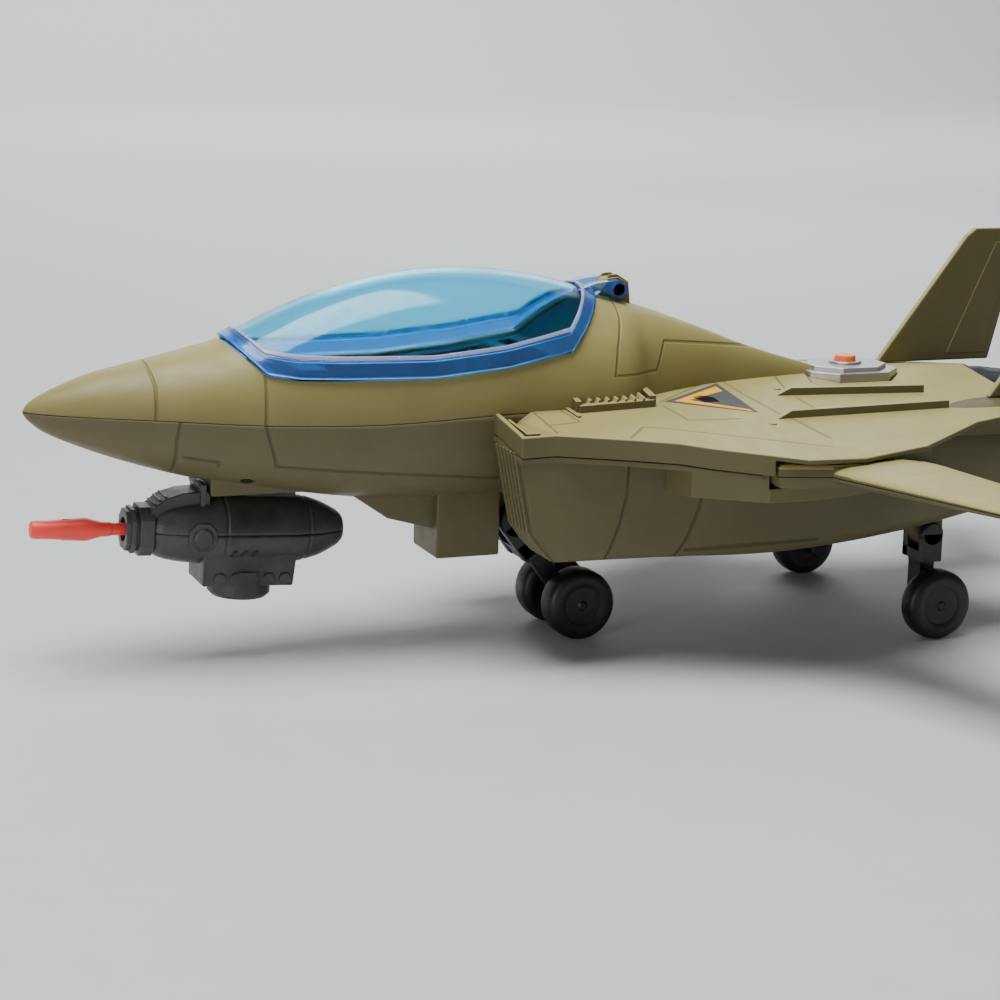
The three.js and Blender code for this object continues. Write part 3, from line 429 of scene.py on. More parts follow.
def plate(bm, outline, lift, how):
    """A flat outline pushed along a line into a solid; how places its points."""
    verts = [bm.verts.new(how(*p)) for p in outline]
    pushed = bmesh.ops.extrude_face_region(bm, geom=[bm.faces.new(verts)])
    far = [g for g in pushed["geom"] if isinstance(g, bmesh.types.BMVert)]
    bmesh.ops.translate(bm, vec=lift, verts=far)
    return bm


def joined(bm, rings):
    """Joins closed rings of points into one tube and closes both of its ends."""
    sides = len(rings[0])
    for near, far in zip(rings, rings[1:]):
        for k in range(sides):
            bm.faces.new((near[k], near[(k + 1) % sides], far[(k + 1) % sides], far[k]))
    bm.faces.new(rings[0])
    bm.faces.new(rings[-1])


def side_plate(outline, y0, y1, bm=None):
    return plate(bm or bmesh.new(), outline, (0, y1 - y0, 0), lambda x, z: (x, y0, z))


def flat_plate(outline, z0, z1, bm=None):
    return plate(bm or bmesh.new(), outline, (0, 0, z1 - z0), lambda x, y: (x, y, z0))


def block(x0, x1, y0, y1, z0, z1, bm=None):
    bm = bm or bmesh.new()
    middle = Matrix.Translation(((x0 + x1) / 2, (y0 + y1) / 2, (z0 + z1) / 2))
    place = middle @ Matrix.Diagonal((x1 - x0, y1 - y0, z1 - z0, 1))
    bmesh.ops.create_cube(bm, size=1, matrix=place)
    return bm


TURN_TO = {
    "x": Matrix.Rotation(math.pi / 2, 4, "Y"),
    "y": Matrix.Rotation(-math.pi / 2, 4, "X"),
    "z": Matrix.Identity(4),
}


def turned(profile, axis="z", at=(0, 0, 0), steps=48, bm=None):
    """A profile of (radius, height) spun about an axis through a point."""
    bm = bm or bmesh.new()
    before = set(bm.verts)
    verts = [bm.verts.new((r, 0, h)) for r, h in profile]
    edges = [bm.edges.new(ends) for ends in zip(verts, verts[1:])]
    bmesh.ops.spin(bm, geom=verts + edges, cent=(0, 0, 0), axis=(0, 0, 1), dvec=(0, 0, 0),
                   angle=math.tau, steps=steps, use_merge=True)
    place = Matrix.Translation(at) @ TURN_TO[axis]
    bmesh.ops.transform(bm, matrix=place, verts=[v for v in bm.verts if v not in before])
    return bm


def rod(radius, start, end, axis, at, steps=32, bm=None, soft=0):
    """A round bar along an axis, with soft as the width of its worn edges."""
    return turned([(0, start), (radius - soft, start), (radius, start + soft), (radius, end - soft),
                   (radius - soft, end), (0, end)], axis, at, steps, bm)


def carve(obj, *cutters):
    """Cuts shapes out of an object and keeps the result as its mesh."""
    for bm in cutters:
        bmesh.ops.recalc_face_normals(bm, faces=bm.faces)
        bmesh.ops.transform(bm, matrix=TO_FRAME, verts=bm.verts)
        mesh = bpy.data.meshes.new("cutter")
        bm.to_mesh(mesh)
        bm.free()
        tool = bpy.data.objects.new("cutter", mesh)
        bpy.context.scene.collection.objects.link(tool)
        kept = [(m.name, m.show_viewport) for m in obj.modifiers]
        for m in obj.modifiers:
            m.show_viewport = False
        cut = obj.modifiers.new("cut", "BOOLEAN")
        cut.operation = "DIFFERENCE"
        cut.solver = "EXACT"
        cut.object = tool
        bpy.context.view_layer.update()
        cut_through = obj.evaluated_get(bpy.context.evaluated_depsgraph_get())
        result = bpy.data.meshes.new_from_object(cut_through)
        obj.modifiers.remove(cut)
        obj.data = result
        for name, shown in kept:
            obj.modifiers[name].show_viewport = shown
        bpy.data.objects.remove(tool)
    obj.data.shade_smooth()
    obj.data.set_sharp_from_angle(angle=math.radians(SHARP))
    return obj


# ---- Fuselage -------------------------------------------------------------------------------
def hull_point(x, angle, proud=0):
    """On the forward fuselage; the angle is from straight up."""
    seam = hull_seam(x)
    up = math.cos(angle)
    reach = hull_top(x) - seam if up > 0 else seam - hull_floor(x)
    return (x, -(hull_half(x) + proud) * math.sin(angle), seam + (reach + proud) * up)


def edge_angle(x, lift=0):
    """Angle at which the hull meets the canopy's lower edge."""
    if x < SILL[0][0] or x > SILL[-1][0]:
        return 0
    seam = hull_seam(x)
    return math.acos(max(-1, min(1, (sill(x) + lift - seam) / (hull_top(x) - seam))))


def bunch(u, marks):
    """Spreads u over the stations in marks, evenly by mark, so that closer marks get more sections."""
    k = min(int(u * (len(marks) - 1)), len(marks) - 2)
    t = u * (len(marks) - 1) - k
    return marks[k] + (marks[k + 1] - marks[k]) * t


HULL_MARKS = [0, 0.4, 1.5, 4, 10, 20, 34, 50, 62, 64, 66, 69, 72, 75, 78, 90, 105, 120, 135, 150, 165, 176,
              181, 185, 189, 193, 196.8, 200]
SPINE_MARKS = [200, 206, 213, 222, 234, 246, 258, 270, 280, 288]


def upper_hull(u, v):
    x = bunch(u, HULL_MARKS + SPINE_MARKS[1:])
    low = math.pi / 2
    angle = low + (edge_angle(x) - low) * v
    if x <= NECK_START:
        x, y, z = hull_point(x, angle)
    else:
        t = min(1, (x - NECK_START) / NECK_LENGTH)
        t = t * t * (3 - 2 * t)
        foot = hull_seam(HULL_MARKS[-1]) * (1 - t) + SPINE_FOOT * t
        top = hull_top(x) * (1 - t) + spine_top(x) * t
        half = hull_half(x) * (1 - t) + spine_half(x) * t
        squareness = 1 - 0.1 * t
        y = -half * power(math.sin(angle), squareness)
        z = foot + (top - foot) * power(math.cos(angle), squareness)
    return (x, y, z + PARTING * (1 - v))


def lower_hull(u, v):
    x = bunch(u, HULL_MARKS)
    x, y, z = hull_point(x, math.pi / 2 + math.pi / 2 * v)
    return (x, y, z - PARTING * (1 - v))


piece("hull_upper", skin(190, 36, upper_hull, both=True), olive, wall=1.8,
      stands_for=["fuselage_upper_shell"])
piece("hull_lower", skin(140, 36, lower_hull, both=True), olive_lower_shaded, wall=1.8,
      stands_for=["fuselage_lower_shell"])

recess = rod(2.1, -0.12, 1.2, "z", (0, 0, 0))
follow_hull = Matrix.Rotation(math.radians(-27), 4, "X") @ Matrix.Rotation(math.radians(8), 4, "Y")
bmesh.ops.transform(recess, matrix=Matrix.Translation((70.9, -12.2, -24.1)) @ follow_hull, verts=recess.verts)
piece("screw_recess", pair(recess), black)


# ---- Deck over the intakes and wing roots ---------------------------------------------------
def deck_slab(outline, top, floor):
    """A slab over a half outline; its top and floor are depths below the deck and follow its slope."""
    return plate(bmesh.new(), outline, (0, 0, top - floor), lambda x, y: (x, -y, deck_top(y) - top))


def half_deck(name, side):
    outline = [(DECK_START, 0), *DECK_RIM, (DECK_END, 0)]
    slab = piece(name, on_side(deck_slab(outline, 0, DECK_RIM_DEPTH - PARTING), side), olive_deck,
                 bevel=0.55, segments=3)
    slot = deck_slab([(SLOT_START, SLOT_INNER), (SLOT_START, 100), (400, 100), (400, SLOT_INNER)],
                     DECK_ROOF, 40)
    tray = deck_slab([(152.6, 18), (152.6, 53.2), (163.4, 53.2), (163.4, 18)], -3, TRAY_DEPTH)
    module = flat_plate([(MODULE - 18.4, -7), (MODULE - 10.4, -15.4), (MODULE + 10.4, -15.4),
                         (MODULE + 18.4, -7), (MODULE + 18.4, 7), (MODULE + 10.4, 15.4),
                         (MODULE - 10.4, 15.4), (MODULE - 18.4, 7)], -8, 20)
    carve(slab, on_side(slot, side), on_side(tray, side), module)
    # Painted shade on the deck's faces that don't look up: its rim and cut walls.
    paint_side_shade(slab.data)


for label, side in SIDES.items():
    half_deck(f"deck_{label}", side)


def deck_bar(bm, a, b, width, foot, top, lean=0):
    """A bar on the deck from a to b in plan, from foot below the deck to top above it."""
    run = Vector((b[0] - a[0], b[1] - a[1]))
    across = Vector((-run.y, run.x)).normalized() * width / 2
    corners = [Vector(a) - across, Vector(b) - across, Vector(b) + across, Vector(a) + across]
    return plate(bm, corners, (lean, 0, foot + top), lambda x, y: (x, y, deck_top(y) - foot))


ramp = bmesh.new()
foot = [ramp.verts.new((x, -y, deck_top(y) - TRAY_DEPTH - 0.05))
        for x, y in ((157.4, 20), (159.6, 53.1), (163.6, 53.1), (163.6, 20))]
edge = [ramp.verts.new((163.6, -y, deck_top(y) - 0.1)) for y in (53.1, 20)]
ramp.faces.new(foot)
ramp.faces.new((foot[0], foot[1], edge[0], edge[1]))
ramp.faces.new((foot[2], foot[3], edge[1], edge[0]))
ramp.faces.new((foot[1], foot[2], edge[0]))
ramp.faces.new((foot[0], foot[3], edge[1]))
piece("deck_ramp", pair(ramp), olive_plain)

clip = bmesh.new()
deck_bar(clip, (153.9, -35), (155, -51.6), 1.1, 4, -0.6)
deck_bar(clip, (156.5, -37.5), (157.6, -50.8), 1, 4, -1.6)
deck_bar(clip, (153.6, -50.6), (158.6, -50.6), 1.7, 4, -0.1)
piece("deck_clip", pair(clip), olive_plain, bevel=0.2)

vent = bmesh.new()
deck_bar(vent, (179.8, -33.4), (208.9, -30.4), 2.2, 1, 2.5)
deck_bar(vent, (180.6, -20), (179.8, -33.6), 2.2, 1, 3.8)
deck_bar(vent, (209.4, -16), (208.2, -31), 2.6, 1, 3.8)
for k in range(7):
    x = 184.2 + 3.3 * k
    deck_bar(vent, (x - 0.6, -18), (x - 1.1, -32), 0.9, 0.5, 3.5, lean=1.9)
piece("vent_louvres", pair(vent), olive_plain, bevel=0.3)

FENCE_SLOPE, FENCE_RISE, FENCE_WIDTH, FENCE_SUNK = 5.6, 2.7, 2.4, -0.6


def fence(bm, start, end):
    """A long bar with a sloping nose."""
    (x, y), share = start, FENCE_SLOPE / (end[0] - start[0])
    run = [start, (x + FENCE_SLOPE, y + (end[1] - y) * share), end]
    rings = []
    for (px, py), rise in zip(run, (0.1, FENCE_RISE, FENCE_RISE)):
        section = ((0, FENCE_SUNK), (0, rise), (FENCE_WIDTH, rise), (FENCE_WIDTH, FENCE_SUNK))
        rings.append([bm.verts.new((px, py + across, deck_top(py) + top)) for across, top in section])
    joined(bm, rings)


trim = bmesh.new()
deck_bar(trim, (176.6, -26), (178, -38.7), 1.6, 1, 0.7)
fence(trim, (258.4, -25.9), (316, -29.5))
fence(trim, (246.6, -49.4), (316, -46.5))
piece("deck_fences", pair(trim), olive_plain, bevel=0.35)

spots = bmesh.new()
for x, y in ((242.6, -53.4), (262.4, -18.6)):
    turned([(0, 0.25), (1.3, 0.25), (1.5, 0.05), (1.5, -0.6)], at=(x, y, deck_top(y)), steps=20, bm=spots)
piece("deck_spots", pair(spots), olive_plain)

# ---- Marking on the deck: a chevron in a triangle, without any lettering --------------------
A, B, C = Vector((214.6, -26.8)), Vector((242.8, -10.2)), Vector((243.1, -42))


def inner(weight_a, weight_b, weight_c):
    return A * weight_a + B * weight_b + C * weight_c


def sticker(name, corners, finish, lift, side):
    """A thin printed shape that stands a little proud of the deck."""
    bm = plate(bmesh.new(), corners, (0, 0, -0.3), lambda x, y: (x, y * -side, deck_top(y) + lift))
    return piece(name, bm, finish)


for label, side in SIDES.items():
    sticker(f"sticker_field_{label}", [A, B, C], sticker_grey, 0.06, side)
    tip = inner(0.86, 0.07, 0.07)
    bend = inner(0.66, 0.17, 0.17)
    sticker(f"sticker_bar_inner_{label}", [tip, inner(0.07, 0.86, 0.07), inner(0.07, 0.7, 0.23), bend],
            sticker_yellow, 0.1, side)
    sticker(f"sticker_bar_outer_{label}", [bend, inner(0.05, 0.08, 0.87), inner(0.05, 0.02, 0.93), tip],
            sticker_yellow, 0.1, side)
    lens = [bend.lerp(inner(0.3, 0.35, 0.35), t) + Vector((0, 4.2 * math.sin(math.pi * t * 0.9)))
            for t in (0.25, 0.4, 0.55, 0.7, 0.85, 1)]
    lens += [inner(0.3, 0.25, 0.45), inner(0.5, 0.16, 0.34)]
    sticker(f"sticker_lens_{label}", lens, sticker_black, 0.1, side)

# ---- Lower fuselage -------------------------------------------------------------------------
rim_lower = deck_slab([(DECK_START, 0), (DECK_START, 55), (163, 54.3), (186.5, 61.9), (201, 67.5),
                       (210.5, 73.8), (225, 81.4), (225, 0)], DECK_RIM_DEPTH + PARTING, DECK_RIM_DEPTH + 2)
piece("rim_lower", pair(rim_lower), olive_under_shaded, bevel=0.3)

nacelle_y, nacelle_half = along(NACELLE_Y), along(NACELLE_HALF)
nacelle_top, nacelle_floor, nacelle_power = along(NACELLE_TOP), along(NACELLE_FLOOR), along(NACELLE_POWER)


def nacelle(u, v):
    x = NACELLE_START + (NACELLE_END - NACELLE_START) * u
    angle = math.tau * v
    middle = (nacelle_top(x) + nacelle_floor(x)) / 2
    reach = (nacelle_top(x) - nacelle_floor(x)) / 2
    p = 2 / nacelle_power(x)
    y = -nacelle_y(x) + nacelle_half(x) * power(math.sin(angle), p)
    return (x, y, middle + reach * power(math.cos(angle), p))


for label, side in SIDES.items():
    bm = skin(60, 72, nacelle)
    bmesh.ops.remove_doubles(bm, verts=bm.verts, dist=1e-4)
    bmesh.ops.holes_fill(bm, edges=[e for e in bm.edges if e.is_boundary], sides=0)
    duct = piece(f"nacelle_{label}", on_side(bm, side), olive_nacelle_shaded)
    ahead_of_intake = side_plate([*INTAKE_RAKE, (166.5, -53), (166.5, -80), (120, -80), (120, -4)], -70, 70)
    middle = side * NOZZLE_Y
    carve(duct, ahead_of_intake,
          block(368, 380, middle - 14.5, middle + 14.5, NOZZLE_Z - 14.5, NOZZLE_Z + 14.5))

ribs = bmesh.new()
rib = [(x - 1.3, z) for x, z in INTAKE_RAKE[1:]] + [(x + 1, z) for x, z in INTAKE_RAKE[:0:-1]]
for k in range(6):
    y = -34.2 - 3.1 * k
    side_plate(rib, y - 0.85, y + 0.85, ribs)
piece("intake_ribs", pair(ribs), olive_under_shaded, bevel=0.35)

centre = side_plate([(190, -4), (190, -35.5), (262, -35.5), (350, -19), (350, -4)], -31, 31)
belly = piece("belly_centre", centre, olive_under_shaded, bevel=1.2, segments=3)
carve(belly, block(286, 314, -12, 12, -7, -3))

PAN = [(203.5, -50), (203.5, -53.5), (207.2, -65.2), (228.6, -80.2), (246, -80.6), (262, -77), (290, -66),
       (304, -58), (304, -50)]
pan = piece("wing_root_pan", pair(flat_plate(PAN, PAN_FLOOR, PAN_TOP)), olive_pan_shaded, bevel=0.4)
carve(pan, block(SLOT_START, 330, -90, -SLOT_INNER, SLOT_FLOOR, 0),
      block(SLOT_START, 330, SLOT_INNER, 90, SLOT_FLOOR, 0))

box = block(138, 161, -12, 12, -55, -28)
side_plate([(108, -28), (109.5, -32.4), (121.5, -40.6), (139, -45.4), (139, -28)], -8.5, 8.5, box)
piece("battery_box", box, olive_under_shaded, bevel=0.8, segments=3)
piece("launcher_pylon", block(60, 92.5, -8, 8, -29.8, -20), olive_under_shaded, bevel=0.9, segments=3)


NOSE_GEAR = Vector((169, 0, -44.5))
MAIN_GEAR = {side: Vector((314, 38 * side, -50)) for side in SIDES.values()}


def lug(pivot, base, half, bm):
    """The block on the underside that a gear leg turns on."""
    x, y, z = pivot
    return side_plate([(x - 6, base), (x - 6, z), (x - 3, z - 4), (x + 3, z - 4), (x + 6, z), (x + 6, base)],
                      y - half, y + half, bm)


lugs = lug(NOSE_GEAR, -34, 3.9, bmesh.new())
for pivot in MAIN_GEAR.values():
    lug(pivot, -42, 3.4, lugs)
piece("gear_lugs", lugs, olive_under_shaded, bevel=0.8, segments=3)

# ---- Canopy ---------------------------------------------------------------------------------
CANOPY_MARKS = [64.2, 65.5, 67, 69, 72, 75, 79, 86, 95, 105, 115, 125, 135, 145, 155, 165, 173, 180, 184, 188,
                192, 196.6]


def canopy_band(inner_lift, outer_lift, proud):
    """The band of the hull's shape between two heights above its sill, standing proud of it."""
    def where(u, v):
        x = bunch(u, CANOPY_MARKS)
        low, high = edge_angle(x, outer_lift), edge_angle(x, inner_lift)
        return hull_point(x, low + (high - low) * v, proud)
    return where


piece("canopy_glass", skin(110, 34, canopy_band(60, 5.4, 0.3), both=True), blue, "canopy", wall=1.5,
      stands_for=["canopy"])
piece("canopy_rim", skin(110, 8, canopy_band(6, 0.4, 1.5), both=True), blue_deep, "canopy", wall=2.2)
# The lip's pale colour is a painted highlight along the frame's inner edge.
piece("canopy_lip_highlight", skin(110, 3, canopy_band(7.2, 5.9, 1.6), both=True), lip, "canopy", wall=0.8)

arm = [(186, 34.4), (196, 37.8), (204.5, 38.7), (207.7, 36.6), (207.7, 34), (205.5, 32.5), (202, 33.4),
       (197.6, 34.9), (195.6, 33.6), (190, 33.2)]
arms = side_plate(arm, -8.6, -4.4)
rod(2.7, -8.6, -4.4, "y", (204.5, 0, 35.4), 8, arms, soft=0.3)
piece("canopy_arms", pair(arms), blue_deep, "canopy", bevel=0.4)
bracket = side_plate([(199.2, 28), (199.2, 35.4), (202, 38.8), (206, 39.2), (210.1, 37), (211.1, 28)], -4, 4)
cheek = [(199.6, 28), (199.6, 36.4), (203, 40), (206, 40.2), (210.6, 37.4), (211.6, 28)]
for y in (-2.7, 2.7):
    side_plate(cheek, y - 0.5, y + 0.5, bracket)
piece("hinge_bracket", bracket, olive_plain, bevel=0.5, stands_for=["canopy_hinge_bracket"])

# ---- Cockpit --------------------------------------------------------------------------------
panel = side_plate([(84, 4), (88, 12.5), (98, 12.2), (98, 9), (91, 3)], -14, 14)
for k in range(3):
    rod(2.4, 97.6, 98.6, "x", (0, -7 + 7 * k, 10.4), 24, panel)
piece("instrument_hood", panel, dark, bevel=0.7)
seat = side_plate([(133, -12), (133, -4), (135, -2.4), (149, -3.4), (158.6, 12), (161, 16), (166, 16.4),
                   (167.4, 13.4), (159, -12)], -11, 11)
bolster = [(134, -3), (136, -0.6), (149, -1.4), (158, 13), (156.5, 14), (147, 1), (135, 1)]
for y in (-9.4, 9.4):
    side_plate(bolster, y - 1.4, y + 1.4, seat)
piece("seat", seat, dark, bevel=0.9, segments=3, stands_for=["pilot_seat"])

# ---- Missile launcher -----------------------------------------------------------------------
POD = Matrix.Translation((66, 0, -42.2)) @ Matrix.Rotation(math.radians(3), 4, "Y")
POD_FRONT, POD_BACK = -26.6, 42
POD_BANDS, BAND_DEPTH = (-1.2, 27.4), 0.35
pod_wide = along([(POD_FRONT, 5.6), (-24, 8.4), (-20.5, 10), (-15, 11.3), (-6, 12.2), (8, 12.4), (24, 12),
                  (31, 10.4), (37, 7.8), (41, 4.6), (POD_BACK, 0.4)])
pod_high = along([(POD_FRONT, 5.6), (-24, 8.2), (-20.5, 9.7), (-15, 10.8), (-6, 11.6), (8, 11.6), (24, 11.2),
                  (31, 9.8), (37, 7.2), (41, 4.2), (POD_BACK, 0.4)])


def pod_half(sign):
    """The upper (1) or lower (-1) half of the pod, with a groove at each band."""
    def where(u, v):
        x = POD_FRONT + (POD_BACK - POD_FRONT) * u
        angle = math.pi / 2 * (2 * v - 1)
        groove = BAND_DEPTH if min(abs(x - band) for band in POD_BANDS) < 0.5 else 0
        height = PARTING + (pod_high(x) - groove) * math.cos(angle)
        return (x, (pod_wide(x) - groove) * math.sin(angle), sign * height)
    return where


def ring(h, c):
    """A square of half width h whose corners are cut back to c."""
    return [(-h, -c), (-c, -h), (c, -h), (h, -c), (h, c), (c, h), (-c, h), (-h, c)]


def across_plate(bm, outline, x0, x1):
    return plate(bm, outline, (x1 - x0, 0, 0), lambda y, z: (x0, y, z))


for name, sign, node in (("pod_top", 1, "launcher_upper_half"), ("pod_bottom", -1, "launcher_lower_half")):
    piece(name, skin(134, 40, pod_half(sign)), pod_black, wall=1.6, turn=POD, stands_for=[node])
for name, outline, x0, x1 in (("pod_muzzle", ring(6.6, 3.4), -33.8, -22),
                              ("pod_collar", ring(8.2, 4.4), -29.6, -24.8),
                              ("pod_step", ring(7.4, 4), -32.2, -30.6)):
    bore = rod(4, -40, -20, "x", (0, 0, 0), 40)
    bmesh.ops.transform(bore, matrix=POD, verts=bore.verts)
    carve(piece(name, across_plate(bmesh.new(), outline, x0, x1), pod_black, bevel=0.35, turn=POD), bore)
hood = side_plate([(-27.4, 2.6), (-25.8, 7.6), (-21.6, 11.2), (-15.4, 13.2), (-7, 13.8), (-7, 3)], -6.4, 6.4)
for k in range(5):
    angle = math.radians(158 - 9 * k)
    middle = Matrix.Translation((-13 + 14.6 * math.cos(angle), 0, 1.2 + 11.9 * math.sin(angle)))
    place = middle @ Matrix.Rotation(-angle, 4, "Y") @ Matrix.Diagonal((1.6, 11.2, 0.9, 1))
    bmesh.ops.create_cube(hood, size=1, matrix=place)
piece("pod_hood", hood, pod_black, bevel=0.45, turn=POD)
feet = block(-9.8, -8, -7.6, 7.6, 6, 16.2)
side_plate([(-8.6, 10), (-10.8, 15.8), (-9.6, 16.8), (-6.6, 12.2), (-6.6, 9)], -7.2, 7.2, feet)
block(6.4, 24, -3, 3, 8, 13.4, feet)
piece("pod_hanger", feet, pod_black, bevel=0.4, turn=POD)
BOSS_X, BOSS_Z = -9.6, -0.6
boss = turned([(0, 13.7), (2.5, 13.7), (3.3, 13.1), (3.3, 8)], "y", (BOSS_X, 0, BOSS_Z), 40)
eighths = [math.radians(22.5 + 45 * k) for k in range(8)]
plate(boss, [(BOSS_X + 5.2 * math.cos(a), BOSS_Z + 5.2 * math.sin(a)) for a in eighths], (0, 4.6, 0),
      lambda x, z: (x, 8, z))
piece("pod_boss", pair(boss), pod_black, bevel=0.4, turn=POD)
keel = side_plate([(-8.4, -4), (23.9, -4), (22.7, -17.8), (-8.4, -17.8)], -9.6, 9.6)
for k in range(5):
    x = -2.6 + 5.6 * k
    for y in (-9.8, 9.8):
        side_plate([(x - 2, -16.6), (x - 2, -14.4), (x - 1, -13.2), (x + 1, -13.2), (x + 2, -14.4),
                    (x + 2, -16.6)], y - 0.5, y + 0.5, keel)
piece("pod_box", keel, pod_black, bevel=0.5, turn=POD)
slots = bmesh.new()
for k in range(3):
    for side in SIDES.values():
        lean = Matrix.Rotation(math.radians(-36 * side), 4, "X") @ Matrix.Rotation(math.radians(24), 4, "Y")
        place = Matrix.Translation((1.4 + 3.6 * k, 10.2 * side, -6.4)) @ lean
        bmesh.ops.create_cube(slots, size=1, matrix=place @ Matrix.Diagonal((1.1, 0.9, 3.2, 1)))
piece("pod_vents", slots, black, bevel=0.15, turn=POD)
drum = turned([(0, -4.8), (9.2, -4.8), (10.6, -3.4), (10.6, 4.8), (0, 4.8)], steps=64)
piece("trigger_drum", drum, pod_black, "trigger", turn=POD @ Matrix.Translation((6.6, 0, -17.8)),
      stands_for=["launcher_trigger"])

shot = turned([(0, -64.3), (2.3, -64.3), (2.8, -63.9), (3, -63), (3.1, -58), (3.5, -52), (3.85, -47.4),
               (3.85, -46), (3.2, -43.6), (2.5, -41), (2.4, -38), (2.1, -37.6), (2.1, -12), (0, -12)], steps=48)
ridge = Matrix.Translation((2.95, 0, -49.5)) @ Matrix.Diagonal((1.3, 0.7, 9, 1))
for k in range(6):
    bmesh.ops.create_cube(shot, size=1, matrix=Matrix.Rotation(math.radians(60 * k), 4, "Z") @ ridge)
piece("missile_red", shot, red, "missile", bevel=0.15, turn=POD @ TURN_TO["x"], stands_for=["missile"])

# ---- Undercarriage --------------------------------------------------------------------------
NOSE_SWEEP, NOSE_REACH, NOSE_TRACK = math.radians(36.6), 37, 12
MAIN_REACH, MAIN_TRACK = 24.2, 49


def wheel(name, width, at, node):
    """A tyre with a dished hub, and the cap over its axle's end."""
    h = width / 2
    front = [(1.8, -h + 0.6), (3.2, -h + 0.55), (6.6, -h + 0.6), (7.3, -h + 0.15), (9.6, -h), (10.8, -h + 0.3),
             (11.7, -h + 0.9), (12.3, -h + 1.9), (12.5, -h + 3)]
    back = [(r, -z) for r, z in reversed(front)]
    piece(name, turned([*front, *back, front[0]], "y", at, 96), black, node, stands_for=[node])
    cap = [(0, -h + 0.1), (1.2, -h + 0.1), (1.8, -h + 0.6), (1.8, h - 0.6), (1.2, h - 0.1), (0, h - 0.1)]
    piece(f"{name}_cap", turned(cap, "y", at, 32), black, node)


nose_axle = NOSE_GEAR + NOSE_REACH * Vector((math.sin(NOSE_SWEEP), 0, -math.cos(NOSE_SWEEP)))
for label, side in SIDES.items():
    wheel(f"nose_tyre_{label}", 11, (nose_axle.x, NOSE_TRACK * side, nose_axle.z), f"nose_wheel_{label}")
    wheel(f"main_tyre_{label}", 9, (MAIN_GEAR[side].x, MAIN_TRACK * side, MAIN_GEAR[side].z - MAIN_REACH),
          f"main_wheel_{label}")

leg = bmesh.new()
for y in (-8.4, 4.3):
    rod(6.2, y, y + 4.1, "y", (0, 0, 0), 40, leg, soft=0.5)
    block(-6.1, 6.1, y, y + 4.1, -14, 0, leg)
side_plate([(-4.6, -7.6), (4.6, -7.6), (4.2, -14), (2.6, -20), (2.6, -35), (-2.6, -35), (-2.6, -20),
            (-4.2, -14)], -4.4, 4.4, leg)
side_plate([(-6, -8), (6, -8), (5.4, -15), (-5.4, -15)], -8.4, 8.4, leg)
rod(3.6, -5.6, 5.6, "y", (0, 0, -NOSE_REACH), 40, leg, soft=0.4)
side_plate([(-3.4, -17), (-1.9, -17), (-1.9, -34), (-3.4, -34)], -2.8, 2.8, leg)
piece("nose_leg", leg, black, "nose_gear", bevel=0.5,
      turn=Matrix.Translation(NOSE_GEAR) @ Matrix.Rotation(-NOSE_SWEEP, 4, "Y"), stands_for=["nose_gear_leg"])

for label, side in SIDES.items():
    strut = bmesh.new()
    for y in (-7, 3.8):
        rod(4.2, y, y + 3.2, "y", (0, 0, 0), 40, strut, soft=0.4)
        block(-3.8, 3.8, y, y + 3.2, -10, 0, strut)
    side_plate([(-3.8, -6.4), (3.8, -6.4), (2.8, -12), (2.8, -23.2), (-2.8, -23.2), (-2.8, -12)], -4, 4, strut)
    block(-3.8, 3.8, -7, 7, -10, -6.4, strut)
    hub = (-5.6, 4) if side < 0 else (-4, 5.6)
    rod(3.2, *hub, "y", (0, 0, -MAIN_REACH), 40, strut, soft=0.3)
    piece(f"main_leg_{label}", strut, black, f"main_gear_{label}", bevel=0.45,
          turn=Matrix.Translation(MAIN_GEAR[side]), stands_for=[f"main_gear_leg_{label}"])

# ---- Wings ----------------------------------------------------------------------------------
WING_ROOT, WING_TIP = 88, 168
WING_LEAD = straight([(WING_ROOT, 246), (WING_TIP, 274)])
WING_TRAIL = straight([(WING_ROOT, 287.6), (WING_TIP, 299)])
ROOT_THICK, TAPER = 3.9, 2.3         # half thickness at the root, and how much is lost by the tip
WING_SPLIT, WING_TOP, WING_FLOOR = -16.5, -12.6, -20.4
PIVOT_X, PIVOT_Y, LOBE = 240.2, 68, 11.4
SHOULDER_EDGE = ((0, 1.4), (0.5, 0.5), (1.3, 0), (3.75, 0))     # drop and inset of its rounded edge


def wing_blade(side, upper):
    """The half of the outer wing above or below its split."""
    def where(u, v):
        y = WING_ROOT + (WING_TIP - WING_ROOT) * u
        angle = math.pi * v - math.pi / 2
        lead, trail = WING_LEAD(y), WING_TRAIL(y)
        x = (lead + trail) / 2 + (trail - lead) / 2 * power(math.sin(angle), 0.8)
        rise = (ROOT_THICK - TAPER * u) * power(math.cos(angle), 0.7)
        notch = 280.6 + (y - 87) * 1.18
        height = PARTING + rise * (1 - PARTING / ROOT_THICK)
        return (min(x, notch), side * y, WING_SPLIT + (height if upper else -height))

    bm = skin(40, 60, where)
    bmesh.ops.holes_fill(bm, edges=[e for e in bm.edges if e.is_boundary], sides=0)
    return bm


